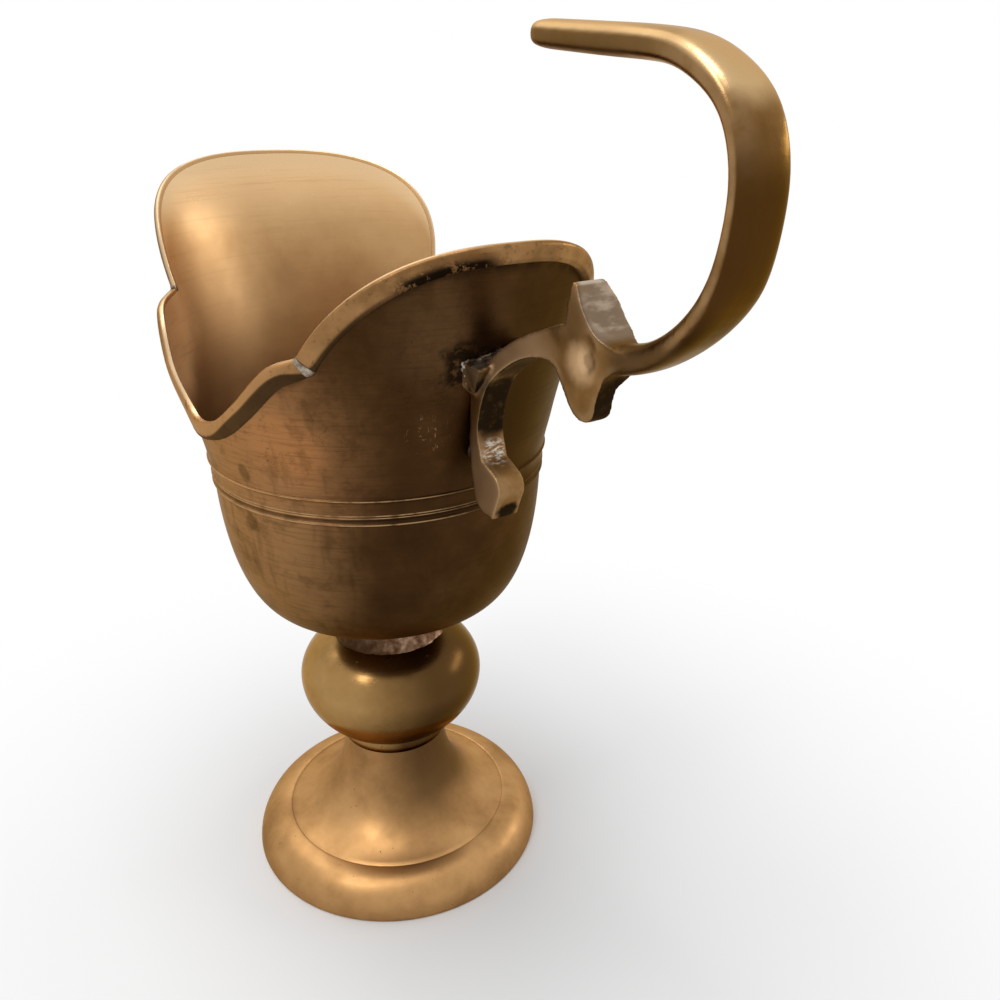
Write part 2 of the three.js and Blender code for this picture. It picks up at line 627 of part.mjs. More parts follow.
addPiece('knop_solder', knopSolderGeometry(), SOLDER);

// The frame's origin is under the middle of the whole piece, not under the turning axis.
const span = new THREE.Box3().setFromObject(ewer);
ewer.position.x = -(span.min.x + span.max.x) / 2;
ewer.updateMatrixWorld(true);

export default ewer;
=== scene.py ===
# %% [markdown]
# A brass helmet ewer, piece by piece. The real one was cast and turned in parts: a trumpet foot, a ball
# knop and a bowl, all trued on a lathe, then four strips of lip bent round the lobed rim and a cast
# handle, soldered on by hand. The lesson builds the same pieces in the same order, round the solids of
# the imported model. Lengths are in millimetres, from the floor and the turning axis, and Blender's own
# metres come in at the last step.

import math

import bpy
import numpy as np
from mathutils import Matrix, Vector


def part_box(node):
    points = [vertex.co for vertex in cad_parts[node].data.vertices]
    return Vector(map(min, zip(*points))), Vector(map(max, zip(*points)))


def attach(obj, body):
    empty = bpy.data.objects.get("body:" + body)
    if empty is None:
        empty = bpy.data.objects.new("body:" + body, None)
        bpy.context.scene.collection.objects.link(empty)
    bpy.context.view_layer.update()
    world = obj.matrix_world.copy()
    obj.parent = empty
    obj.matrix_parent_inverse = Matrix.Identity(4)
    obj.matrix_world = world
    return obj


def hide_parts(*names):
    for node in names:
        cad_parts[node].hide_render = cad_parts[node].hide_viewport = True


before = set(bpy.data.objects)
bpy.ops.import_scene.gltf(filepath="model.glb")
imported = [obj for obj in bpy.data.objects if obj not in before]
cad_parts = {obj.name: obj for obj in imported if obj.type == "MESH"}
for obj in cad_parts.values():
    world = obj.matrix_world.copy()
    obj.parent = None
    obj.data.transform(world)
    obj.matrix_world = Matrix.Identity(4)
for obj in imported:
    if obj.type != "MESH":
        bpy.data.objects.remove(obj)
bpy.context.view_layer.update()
MM = 0.001

foot_low, foot_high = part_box("foot")
AXIS = (foot_low[0] + foot_high[0]) / 2
print("turning axis at x =", round(AXIS / MM, 3), "mm")

# %% [markdown]
# The camera comes first, so that every later look is through it. It stands a forearm away, a little above
# the rim, in front of the handle and to the left of it, and looks down at the bowl. A short lens that
# near makes the foot smaller than the rim, as in the photograph. Its place is in metres and its pitch in
# radians.

# %% The camera
CAMERA_FROM_AXIS = Vector((0.23432, -0.1220, 0.2352))
CAMERA_HEADING = Vector((-0.8151, 0.5794, 0.0))
CAMERA_PITCH = 0.404
CAMERA_LENS = 33.13
CAMERA_NEAR = 0.01

camera_data = bpy.data.cameras.new("camera")
camera_data.lens = CAMERA_LENS
camera_data.clip_start = CAMERA_NEAR
camera = bpy.data.objects.new("camera", camera_data)
bpy.context.scene.collection.objects.link(camera)
camera.location = CAMERA_FROM_AXIS + Vector((AXIS, 0, 0))
ahead = CAMERA_HEADING.normalized() * math.cos(CAMERA_PITCH)
looking = ahead - Vector((0, 0, math.sin(CAMERA_PITCH)))
camera.rotation_euler = looking.to_track_quat("-Z", "Y").to_euler()
bpy.context.scene.camera = camera
print("camera at", [round(c, 4) for c in camera.location])

# %% [markdown]
# Turned work is drawn as half a section, so the first tools are for drawing. A section could be typed in
# point by point, but a turner's curves are smooth: they are Bezier curves, the draughtsman's French
# curve, and parts of ellipses. A point is a radius and a height.

# %% Curves of a section


def bezier(handles, steps):
    """Points along a Bezier curve, from its first handle to its last."""
    points = []
    for step in range(steps + 1):
        row = [np.array(handle, float) for handle in handles]
        while len(row) > 1:
            row = [a + (b - a) * step / steps for a, b in zip(row, row[1:])]
        points.append(tuple(row[0]))
    return points


def ellipse(middle, reach, rise, start, end, steps):
    """Points along part of an ellipse, from one angle in degrees to another."""
    angles = np.radians(np.linspace(start, end, steps + 1))
    return [(middle[0] + reach * math.cos(a), middle[1] + rise * math.sin(a)) for a in angles]


def inset(path, depth):
    """The same path, moved to its left."""
    points = np.array(path)
    along = np.gradient(points, axis=0)
    along /= np.linalg.norm(along, axis=1)[:, None]
    return [tuple(p) for p in points + depth * np.column_stack([-along[:, 1], along[:, 0]])]


# %% [markdown]
# Then the section is spun. A plane is merged to one point, the point is extruded along the section, and
# Spin carries that line round the axis, which is what a lathe does to brass. A Screw modifier would do
# the same, but Spin leaves a plain mesh, whose doubles can be merged at once.

# %% Tools for turned work
WELD = 1e-6


def fresh(name):
    """Name the piece that was just added, the only one selected."""
    piece = bpy.context.object
    piece.name = name
    piece.data.name = name
    return piece


def draw_line(name, points):
    """Merge a plane to one point, then extrude that point along a line, given in metres."""
    bpy.ops.object.select_all(action="DESELECT")
    bpy.ops.mesh.primitive_plane_add(size=MM)
    piece = fresh(name)
    bpy.ops.object.mode_set(mode="EDIT")
    bpy.ops.mesh.select_mode(type="VERT")
    bpy.ops.mesh.merge(type="CENTER")
    bpy.ops.transform.translate(value=points[0])
    for before, after in zip(points, points[1:]):
        step = Vector(after) - Vector(before)
        bpy.ops.mesh.extrude_vertices_move(TRANSFORM_OT_translate={"value": step})
    return piece


def weld():
    """In edit mode: merge what lies together and turn all faces outwards."""
    bpy.ops.mesh.select_all(action="SELECT")
    bpy.ops.mesh.remove_doubles(threshold=WELD)
    bpy.ops.mesh.normals_make_consistent(inside=False)
    bpy.ops.object.mode_set(mode="OBJECT")


def turn_piece(name, profile, steps):
    """Spin half a section round the turning axis."""
    piece = draw_line(name, [(AXIS + r * MM, 0, z * MM) for r, z in profile])
    bpy.ops.mesh.select_all(action="SELECT")
    bpy.ops.mesh.spin(steps=steps, angle=2 * math.pi, center=(AXIS, 0, 0), axis=(0, 0, 1))
    weld()
    return piece


# %% [markdown]
# Every piece ends the same way.

# %% Tools for a finished piece


def take_up(piece):
    """Select one piece alone and make it the active one."""
    bpy.ops.object.select_all(action="DESELECT")
    piece.select_set(True)
    bpy.context.view_layer.objects.active = piece


def smooth(piece, crisp):
    """Shade smooth, with edges sharper than an angle in degrees left crisp."""
    take_up(piece)
    bpy.ops.object.shade_smooth_by_angle(angle=math.radians(crisp))


def settle(piece, node):
    """Fix a finished piece to the object, in place of its solid, and print its faces."""
    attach(piece, "root")
    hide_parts(node)
    print(piece.name, len(piece.data.polygons), "faces")


# %% [markdown]
# The foot is a hollow trumpet: a rounded skirt, one fine line cut with the point of a tool, then a
# concave sweep up to a narrow neck. It could be built from a cylinder with scaled rings, but a spun
# section gives every ring its exact radius, and the hollow inside comes from the same line, moved in by
# the thickness of the casting.

# %% Foot
TURNED_STEPS = 160
TURNED_CRISP = 35
FOOT_WALL = 2.6
FOOT_CEILING = 31.0
CEILING_CORNER_IN, CEILING_CORNER_DOWN = 1.2, 1.5
NECK_TOP = 40.55
SKIRT_MIDDLE, SKIRT_REACH, SKIRT_RISE = (36.9, 0.0), 11.5, 11.7

sole = [(45.9, 0.0), (47.7, 0.0), (48.2, 0.2)]
skirt = ellipse(SKIRT_MIDDLE, SKIRT_REACH, SKIRT_RISE, start=3, end=88, steps=22)
line_cut = [(37.1, 11.66), (36.9, 11.5), (36.7, 11.58)]
sweep = bezier([(36.45, 11.75), (23.9, 16.03), (17, 25.4), (17, 40.4)], 34)
neck = [(15, NECK_TOP), (0, NECK_TOP)]
hollow_top = FOOT_CEILING - CEILING_CORNER_DOWN
hollow = [p for p in inset([*skirt, *sweep], FOOT_WALL)[::-1] if p[1] < hollow_top]
ceiling = [(0, FOOT_CEILING), (hollow[0][0] - CEILING_CORNER_IN, FOOT_CEILING)]
foot_profile = [*ceiling, *hollow, *sole, *skirt, *line_cut, *sweep, *neck]
foot = turn_piece("foot_trumpet", foot_profile, TURNED_STEPS)
smooth(foot, TURNED_CRISP)
settle(foot, "foot")

# %% [markdown]
# The knop is the ball that a hand closes round when the ewer is lifted to be polished. It is an oblate
# ball with a short collar below, set off by a fine turned line. A scaled sphere would pinch at the poles
# and give no collar, so it is spun too, the lower half of the ball a little deeper than the upper.

# %% Knop
KNOP_RADIUS = 29.6
KNOP_MIDDLE = (0, 63.03)
KNOP_LOWER, KNOP_UPPER = 22.8, 19.8
COLLAR_ANGLE, SEAT_ANGLE = -53, 53.8
BALL_STEPS = 26

collar = [
    (0, 40.6), (16.4, 40.6), (17.1, 40.9), (17.55, 41.6),
    (17.8, 42.6), (17.75, 43.6), (17.6, 44.3), (17.25, 44.55),
]
lower_ball = ellipse(KNOP_MIDDLE, KNOP_RADIUS, KNOP_LOWER, COLLAR_ANGLE, 0, BALL_STEPS)
upper_ball = ellipse(KNOP_MIDDLE, KNOP_RADIUS, KNOP_UPPER, 0, SEAT_ANGLE, BALL_STEPS)
knop_top = upper_ball[-1][1]
knop = turn_piece("knop_ball", [*collar, *lower_ball, *upper_ball[1:], (0, knop_top)], TURNED_STEPS)
smooth(knop, TURNED_CRISP)
settle(knop, "knop")

# %% [markdown]
# The rim is what makes this a helmet ewer: four lobes that meet in cusps, a high one behind the handle,
# two that dip along the sides, and the tall spout. It could be cut from the finished bowl, but a smith
# scribes it on the flat sheet first, as length round the bowl against height, and so does this cell.
# Angles count from the handle.

# %% The rim laid out flat
BELT_Z = 144.3
BELT_RADIUS = 50.0
REAR_CUSP, FRONT_CUSP, SIDE_LOW = math.radians(45), math.radians(130), math.radians(93)
REAR_CUSP_HEIGHT, REAR_LOBE_HEIGHT, REAR_LOBE_POWER = 38.7, 25.1, 2.55
FRONT_CUSP_HEIGHT, SPOUT_LOBE_HEIGHT, SPOUT_LOBE_POWER = 43.2, 34.9, 2.5
SHOULDER_DROP, SIDE_LOW_HEIGHT, DIP_RISE = 3.4, 14.6, 0.12
REAR_SLOPE_SHARES = (0.178, 0.45, 0.73)
FRONT_SLOPE_SHARES = (0.85, 0.68, 0.47)
LOBE_POINTS = 400
SLOPE_STEPS = 30


def curve_through(points, steps):
    """A smooth curve through all its points, with so many steps in each span."""
    knots = [np.array(p, float) for p in points]
    knots = [2 * knots[0] - knots[1], *knots, 2 * knots[-1] - knots[-2]]
    line = []
    for a, b, c, d in zip(knots, knots[1:], knots[2:], knots[3:]):
        for t in np.arange(steps) / steps:
            line.append(b + 0.5 * t * (c - a + t * (2 * a - 5 * b + 4 * c - d + t * (3 * (b - c) + d - a))))
    return [*line, knots[-2]]


def rear_lobe():
    """Half of the high lobe, from the handle to the rear cusp."""
    turns = np.linspace(0, REAR_CUSP, LOBE_POINTS)
    heights = REAR_CUSP_HEIGHT + REAR_LOBE_HEIGHT * (1 - (turns / REAR_CUSP) ** REAR_LOBE_POWER)
    return np.column_stack([turns * BELT_RADIUS, BELT_Z + heights])


def side_lobe():
    """From the rear cusp over a shoulder, down to the dip, and over a shoulder up to the front cusp."""
    low = SIDE_LOW_HEIGHT
    rear, front = REAR_CUSP_HEIGHT - SHOULDER_DROP, FRONT_CUSP_HEIGHT - SHOULDER_DROP
    behind = [REAR_CUSP + share * (SIDE_LOW - REAR_CUSP) for share in REAR_SLOPE_SHARES]
    before = [FRONT_CUSP - share * (FRONT_CUSP - SIDE_LOW) for share in FRONT_SLOPE_SHARES]
    knots = [
        (REAR_CUSP, REAR_CUSP_HEIGHT),
        (behind[0], rear),
        (behind[1], (rear + low) / 2),
        (behind[2], low + DIP_RISE * (rear - low)),
        (SIDE_LOW, low),
        (before[0], low + DIP_RISE * (front - low)),
        (before[1], (front + low) / 2),
        (before[2], front),
        (FRONT_CUSP, FRONT_CUSP_HEIGHT),
    ]
    return curve_through([(turn * BELT_RADIUS, BELT_Z + height) for turn, height in knots], SLOPE_STEPS)


def spout_lobe():
    """Half of the pouring lobe, from the front cusp to the point opposite the handle."""
    sweep_angle = np.linspace(0, math.pi / 2, LOBE_POINTS)
    across = np.clip(np.cos(sweep_angle), 0, 1) ** (2 / SPOUT_LOBE_POWER)
    rise = np.sin(sweep_angle) ** (2 / SPOUT_LOBE_POWER)
    turns = math.pi - (math.pi - FRONT_CUSP) * across
    return np.column_stack([turns * BELT_RADIUS, BELT_Z + FRONT_CUSP_HEIGHT + SPOUT_LOBE_HEIGHT * rise])


print("cusps at", [round(math.degrees(turn)) for turn in (REAR_CUSP, FRONT_CUSP)], "degrees from the handle")

# %% [markdown]
# The scribed line is stepped off into stations, as with dividers, evenly within each lobe so that a
# station falls on every cusp. Each station keeps its place on the edge and the way down into the wall,
# which at a cusp is the mitre between two lobes. Only one half is laid out; the near side, with minus
# numbers, mirrors the far one.

# %% Stations along the rim
REAR_STEPS, SIDE_STEPS, SPOUT_STEPS = 40, 64, 46
MITRE_LIMIT = 0.5


def evenly(line, steps):
    """The same line with evenly spaced points."""
    line = np.array(line)
    length = np.concatenate([[0], np.cumsum(np.linalg.norm(np.diff(line, axis=0), axis=1))])
    places = np.linspace(0, length[-1], steps + 1)
    return np.column_stack([np.interp(places, length, line[:, k]) for k in range(line.shape[1])])


def way_down(line):
    """At each point of the flat rim, the unit way across it and down into the wall, longer at a mitre."""
    steps = np.diff(line, axis=0)
    steps /= np.linalg.norm(steps, axis=1)[:, None]
    arriving = np.vstack([steps[:1], steps])
    leaving = np.vstack([steps, steps[-1:]])
    along = arriving + leaving
    along /= np.linalg.norm(along, axis=1)[:, None]
    down = np.column_stack([along[:, 1], -along[:, 0]])
    down[0] = down[-1] = (0, -1)
    return down / np.clip((along * arriving).sum(axis=1), MITRE_LIMIT, 1)[:, None]


rear_edge = evenly(rear_lobe(), REAR_STEPS)
side_edge = evenly(side_lobe(), SIDE_STEPS)
spout_edge = evenly(spout_lobe(), SPOUT_STEPS)
HALF_RIM = np.vstack([rear_edge, side_edge[1:], spout_edge[1:]])
HALF_DOWN = way_down(HALF_RIM)
REAR_STATION = REAR_STEPS
FRONT_STATION = REAR_STEPS + SIDE_STEPS
SPOUT_STATION = len(HALF_RIM) - 1


def station(index):
    """Edge and way down at a station, counted from the handle, minus towards the near side."""
    turns, index = divmod(index + SPOUT_STATION, 2 * SPOUT_STATION)
    index -= SPOUT_STATION
    mirror = (-1, 1) if index < 0 else (1, 1)
    edge = HALF_RIM[abs(index)] * mirror + (turns * 2 * math.pi * BELT_RADIUS, 0)
    return edge, HALF_DOWN[abs(index)] * mirror


lowest, highest = HALF_RIM[:, 1].min(), HALF_RIM[:, 1].max()
print("rim of", 2 * SPOUT_STATION, "stations, lowest", round(lowest, 1), "highest", round(highest, 1))

# %% [markdown]
# Above the belt the wall flares. The flare is wider behind the handle than at the spout, it swells a
# little under the side dips, and the spout curls out at its top. A lathe alone can't give that, so the
# wall's radius is worked out from the height and the way round: a Bezier curve, solved for the height,
# with the swell and the curl added.

# %% The flare of the wall
FLARE_HEIGHT, FLARE_RADIUS, REAR_FLARE_RADIUS = 79.4, 66.6, 74.6
FLARE_BEND_OUT, FLARE_BEND_UP = 1.9, 21.2
BELT_FALL, BELT_FADE = 0.55, 10
SPOUT_CURL, CURL_FROM, CURL_TO = 2.0, 198, 222
SIDE_SWELL = 1.9
SWELL_DEGREES = (70, 98, 102, 130)
SWELL_HEIGHTS = (154, 171, 171, 190)


def smooth_share(value, low, high):
    """A soft step from 0 to 1 between two values."""
    t = min(max((value - low) / (high - low), 0), 1)
    return t * t * (3 - 2 * t)


def hump(value, rising, full, falling, gone):
    """A soft hump, up between the first two values and down between the last two."""
    return smooth_share(value, rising, full) - smooth_share(value, falling, gone)


def flare(height, top):
    """Radius of a plain flare that ends at a given radius."""
    a, b = FLARE_HEIGHT - 2 * FLARE_BEND_UP, 2 * FLARE_BEND_UP
    t = (-b + math.sqrt(b * b + 4 * a * max(height - BELT_Z, 0))) / (2 * a)
    bend = BELT_RADIUS + FLARE_BEND_OUT
    return (1 - t) ** 2 * BELT_RADIUS + 2 * t * (1 - t) * bend + t * t * top


def wall_radius(height, turn):
    """Radius of the bowl's outside above the belt."""
    turn = abs(math.atan2(math.sin(turn), math.cos(turn)))
    narrower = smooth_share(turn, REAR_CUSP, SIDE_LOW)
    radius = flare(height, REAR_FLARE_RADIUS + (FLARE_RADIUS - REAR_FLARE_RADIUS) * narrower)
    radius -= BELT_FALL * (1 - smooth_share(height, BELT_Z, BELT_Z + BELT_FADE))
    curl = max(height - CURL_FROM, 0) / (CURL_TO - CURL_FROM)
    radius += SPOUT_CURL * smooth_share(turn, SIDE_LOW, FRONT_CUSP) * curl ** 2
    return radius + SIDE_SWELL * hump(math.degrees(turn), *SWELL_DEGREES) * hump(height, *SWELL_HEIGHTS)


def on_rim(place, outwards, downwards):
    """A point in metres, so far outside the wall and so far down from the edge at a station."""
    edge, down = place
    arc, height = edge + down * downwards
    turn = arc / BELT_RADIUS
    radius = wall_radius(height, turn) + outwards
    return AXIS + radius * math.cos(turn) * MM, radius * math.sin(turn) * MM, height * MM


print("rear lobe's radius", round(wall_radius(HALF_RIM[0][1], 0), 1))

# %% [markdown]
# The bowl is spun like the foot: a stem that sits on the knop, a rounded underside, the body, and a belt
# of fine turned lines, with a dummy wall one millimetre tall above it. The belt's ridges and its twin
# bead are geometry, not bump, because they catch the light along the whole bowl and show in its outline.

# %% Bowl section
WALL = 1.2
WALL_ROWS = 40
BOWL_SEAT = 79.2
BOWL_FLOOR = 90.8
UNDERSIDE_EDGE = (35.1, 95.0)

stem = [(0, BOWL_SEAT), (15.5, BOWL_SEAT), (15.5, 83.2), (15.9, 84.3), (17.2, 85.1)]
underside = bezier([(18.2, 85.4), (24, 87.2), (30.5, 92.4), UNDERSIDE_EDGE], 14)
body = bezier([UNDERSIDE_EDGE, (41.6, 97.6), (47, 110.8), (48.2, 132.5)], 40)[1:]
below_belt = [(48.3, 134.5), (48.4, 136.3)]
lower_ridge = [
    (48.6, 136.55), (48.95, 136.75), (49.05, 136.97), (49.0, 137.2),
    (48.75, 137.4), (48.6, 137.7), (48.6, 138),
]
twin_bead = [
    (48.75, 138.35), (48.98, 138.65), (49.1, 138.95), (49.03, 139.15), (48.92, 139.25), (49.02, 139.37),
    (49.1, 139.6), (49.03, 139.85), (48.92, 140.1),
]
hollow_band = [(48.88, 140.7), (48.9, 141.4), (48.98, 142.1), (49.1, 142.7), (49.25, 143.1), (49.4, 143.4)]
upper_ridge = [(49.62, 143.55), (49.8, 143.8), (49.75, 143.97), (49.52, 144.1), (49.43, 144.2)]
belt = [*below_belt, *lower_ridge, *twin_bead, *hollow_band, *upper_ridge]
shares = np.linspace(0, 1, WALL_ROWS + 1)
wall_out = [(BELT_RADIUS, BELT_Z + share) for share in shares]
wall_in = [(BELT_RADIUS - WALL, BELT_Z + share) for share in shares[::-1]]
cavity = bezier([(48.1, 143.9), (47.4, 118), (44.3, 99.4), (33, 95.4)], 30)
bottom_in = bezier([(32, 95.0), (24, 92.4), (14, BOWL_FLOOR), (0, BOWL_FLOOR)], 10)
bowl_profile = [*stem, *underside, *body, *belt, *wall_out, *wall_in, *cavity, *bottom_in]
bowl = turn_piece("bowl_shell", bowl_profile, 2 * SPOUT_STATION)
print("bowl section of", len(bowl_profile), "points")

# %% [markdown]
# Now the columns of points are slid round to the rim's stations and the dummy wall is drawn up to the
# edge, so that a column runs into every cusp and the lobes stay sharp. A Boolean cut would leave ragged
# triangles along the rim.

# %% Bowl wall
LIP_CAP = 1.0
SEAM = 0.06
BOWL_CRISP = 34


def draw_up_wall(piece):
    """Slide the columns to the rim's stations and stretch the dummy wall up to the lip."""
    column_step = math.pi / SPOUT_STATION
    for vertex in piece.data.vertices:
        x, y, z = vertex.co.x - AXIS, vertex.co.y, vertex.co.z / MM
        radius = math.hypot(x, y) / MM
        if radius < SEAM:
            continue
        edge, down = station(round(math.atan2(y, x) / column_step))
        arc, top = edge + down * (LIP_CAP + SEAM)
        turn = arc / BELT_RADIUS
        if z > BELT_Z - SEAM:
            z = BELT_Z + (z - BELT_Z) * (top - BELT_Z)
            radius += wall_radius(z, turn) - BELT_RADIUS
        vertex.co = AXIS + radius * math.cos(turn) * MM, radius * math.sin(turn) * MM, z * MM


draw_up_wall(bowl)
smooth(bowl, BOWL_CRISP)
settle(bowl, "bowl")

# %% [markdown]
# The lip is a narrow strip of brass bent edgewise along the rim and soldered on in four lengths, with a
# crisp inner edge and a rounded lower one. A bevelled curve would twist along the way, so a cylinder is
# cut into rings and each ring is laid at its own station, with the strip's section square to the wall
# there.

# %% Laying rings


def unselect(kind):
    """Leave nothing of the active mesh selected, ready for vertices or edges to be picked."""
    bpy.ops.object.mode_set(mode="EDIT")
    bpy.ops.mesh.select_mode(type=kind)
    bpy.ops.mesh.select_all(action="DESELECT")
    bpy.ops.object.mode_set(mode="OBJECT")


def keep_number(piece, name, values):
    """Keep a number on every vertex of a piece."""
    piece.data.attributes.new(name, "FLOAT", "POINT").data.foreach_set("value", values)
    print(piece.name, name, "from", round(float(min(values)), 2), "to", round(float(max(values)), 2))


def lay_rings(name, rings):
    """Cut a cylinder into rings and lay every ring in its place, given as points in metres."""
    sides = len(rings[0])
    bpy.ops.object.select_all(action="DESELECT")
    bpy.ops.mesh.primitive_cylinder_add(vertices=sides, radius=1, depth=2)
    piece = fresh(name)
    mesh = piece.data
    unselect("EDGE")
    for edge in mesh.edges:
        low, high = (mesh.vertices[i].co.z for i in edge.vertices)
        edge.select = abs(high - low) > 1
    bpy.ops.object.mode_set(mode="EDIT")
    bpy.ops.mesh.subdivide(number_cuts=len(rings) - 2)
    bpy.ops.object.mode_set(mode="OBJECT")
    side_numbers = []
    for vertex in mesh.vertices:
        ring = round((vertex.co.z + 1) / 2 * (len(rings) - 1))
        turn = math.atan2(vertex.co.y, vertex.co.x) - math.pi / 2
        side_numbers.append(round(turn * sides / (2 * math.pi)) % sides)
        vertex.co = rings[ring][side_numbers[-1]]
    keep_number(piece, "side", side_numbers)
    bpy.ops.object.mode_set(mode="EDIT")
    weld()
    return piece


# %% [markdown]
# The strip's section changes along the way: it is flat-faced on the high lobes, and between a dip and a
# rear cusp its face is rolled under. A point of it is a distance outside the wall and a distance down
# from the edge. The strips stop short of the cusps, to leave room for the solder.

# %% Lip strips
CUSP_GAP = 0.6
LIP_CRISP = 40
LOWEST_STATION = int(HALF_RIM[:, 1].argmin())
ROLL_STARTS, ROLL_ENDS = (0.05, 0.4), (0.9, 1.05)

lip_edge = [(-WALL, LIP_CAP), (-WALL, 0.35), (-WALL + 0.02, 0.12), (-WALL + 0.12, 0.0), (-WALL + 0.45, 0.0)]
flat_face = [
    (0.05, 0.16), (0.5, 0.5), (0.85, 1.0), (1.1, 2.0), (1.3, 3.0),
    (1.45, 3.9), (1.42, 4.4), (1.2, 4.7), (0.8, 4.78),
]
rolled_face = [
    (0.15, 0.18), (0.75, 0.5), (1.2, 1.0), (1.5, 1.6), (1.65, 2.1),
    (1.6, 2.5), (1.25, 3.5), (0.9, 4.5), (0.5, 5.4),
]


def lip_section(index):
    """The strip's section at a station, flat or rolled under."""
    climb = (LOWEST_STATION - abs(index)) / (LOWEST_STATION - REAR_STATION)
    rolled = smooth_share(climb, *ROLL_STARTS) * (1 - smooth_share(climb, *ROLL_ENDS))
    face = np.array(flat_face) * (1 - rolled) + np.array(rolled_face) * rolled
    return [*lip_edge, *map(tuple, face), (SEAM, face[-1][1]), (SEAM, LIP_CAP)]


def between(first, second, distance):
    """A station so many millimetres from one station towards another."""
    share = distance / np.linalg.norm(second[0] - first[0])
    return tuple(a + (b - a) * share for a, b in zip(first, second))


def lip_strip(name, first, last, node):
    """One length of lip between two cusps, held back from both for the solder."""
    places = {i: station(i) for i in range(first, last + 1)}
    places[first] = between(places[first], places[first + 1], CUSP_GAP)
    places[last] = between(places[last], places[last - 1], CUSP_GAP)
    rings = [[on_rim(place, o, d) for o, d in lip_section(i)] for i, place in places.items()]
    strip = lay_rings(name, rings)
    smooth(strip, LIP_CRISP)
    settle(strip, node)
    return strip


lip_strips = [
    lip_strip("lip_handle", -REAR_STATION, REAR_STATION, "rim_strip_handle"),
    lip_strip("lip_near", -FRONT_STATION, -REAR_STATION, "rim_strip_near"),
    lip_strip("lip_far", REAR_STATION, FRONT_STATION, "rim_strip_far"),
    lip_strip("lip_spout", FRONT_STATION, 2 * SPOUT_STATION - FRONT_STATION, "rim_strip_spout"),
]

# %% [markdown]
# Where two lengths of lip meet, the smith ran silver solder into the corner and dressed it flat with a
# file. A ball of solder would look like a blob, so each cusp gets a short bar of the lip's own section, a
# hair proud of the strips, and the joint shows as a fine line.

# %% Solder at the cusps
SOLDER_PROUD = 0.12
SHOWING = 0.3


def proud(section):
    """The lip's section, raised a hair on its face and its top edge."""
    raised = []
    for out, down in section:
        raised.append((out + SOLDER_PROUD * (out > SHOWING), down - SOLDER_PROUD * (down < SHOWING)))
    return raised


def cusp_solder(name, cusp, node):
    """A short bar of solder round the corner of two strips."""
    corner, before, after = station(cusp), station(cusp - 1), station(cusp + 1)
    reach = CUSP_GAP - SEAM
    places = [
        between(corner, before, reach),
        between(corner, before, reach / 2),
        corner,
        between(corner, after, reach / 2),
        between(corner, after, reach),
    ]
    section = proud(lip_section(cusp))
    drop = lay_rings(name, [[on_rim(place, o, d) for o, d in section] for place in places])
    smooth(drop, LIP_CRISP)
    settle(drop, node)
    return drop


cusp_drops = [
    cusp_solder("solder_rear_near", -REAR_STATION, "cusp_solder_rear_near"),
    cusp_solder("solder_rear_far", REAR_STATION, "cusp_solder_rear_far"),
    cusp_solder("solder_front_near", -FRONT_STATION, "cusp_solder_front_near"),
    cusp_solder("solder_front_far", FRONT_STATION, "cusp_solder_front_far"),
]

# %% [markdown]
# The handle is one casting, filed up by hand. Its bracket has an upper spur, a hanging drop, and an
# S-shaped scroll that rests on the wall. It could be carved from a block, but its sides are flat, so the
# outline is drawn in the handle's plane, outwards and upwards from the lug, then filled and extruded to
# its breadth.

# %% Handle bracket
LUG_ABOVE_BELT = 33.4
LUG_Z = BELT_Z + LUG_ABOVE_BELT
LUG_X = wall_radius(LUG_Z, 0)
BRACKET_BREADTH = 7.6

spur_back = [(34.6, 25.8), (33.9, 21.5), (33.4, 17.4)]
scroll_back = curve_through([
    (33.4, 17.4), (26.4, 15), (14, 9.7), (2.5, 1.4), (-2.1, -6),
    (-2.9, -14), (-2.7, -25), (-0.8, -33.2), (2.2, -35.7),
], 10)
heel_sole = [(2.2, -35.7), (6.8, -36.3)]
heel_front = curve_through([(6.8, -36.3), (8.3, -32.6), (9.8, -28.6), (8.5, -25.2), (2.4, -22)], 8)
scroll_inside = curve_through([
    (2.4, -22), (0.9, -14), (4.8, -3), (13.5, 4.2), (22, 7.7), (28.5, 7.7),
    (32.2, 3.4), (35.6, -1.1), (39.3, -2.3), (42.4, -0.6), (43.5, 3.6), (45.4, 8.2),
], 10)
spur_front = curve_through([(52.7, 13.4), (45.2, 15.2), (41.6, 17.4), (38.4, 21.4), (36.0, 25.5)], 8)
scroll = [*scroll_back[1:], *heel_sole[1:], *heel_front[1:], *scroll_inside[1:]]
bracket_outline = [*spur_back, *scroll, *spur_front]


def in_handle_plane(outwards, upwards, across=0.0):
    """A point in metres, measured from the lug."""
    return Vector((AXIS + (LUG_X + outwards) * MM, across * MM, (LUG_Z + upwards) * MM))


def plate(name, outline, breadth):
    """Fill an outline in the handle's plane and extrude it to its breadth."""
    piece = draw_line(name, [in_handle_plane(x, z, -breadth / 2) for x, z in outline])
    bpy.ops.mesh.select_all(action="SELECT")
    bpy.ops.mesh.edge_face_add()
    bpy.ops.mesh.extrude_region_move(TRANSFORM_OT_translate={"value": (0, breadth * MM, 0)})
    weld()
    return piece


handle = plate("handle_casting", bracket_outline, BRACKET_BREADTH)
print("bracket outline of", len(bracket_outline), "points")

# %% [markdown]
# The lug is the block behind the scroll that takes the solder. It is a plate too, with its back bent to
# the wall. On the real one it narrows downwards and its top slopes to the near side, so its lower corners
# are drawn together and its near upper corners are moved down, as one would by hand with a few vertices
# selected.

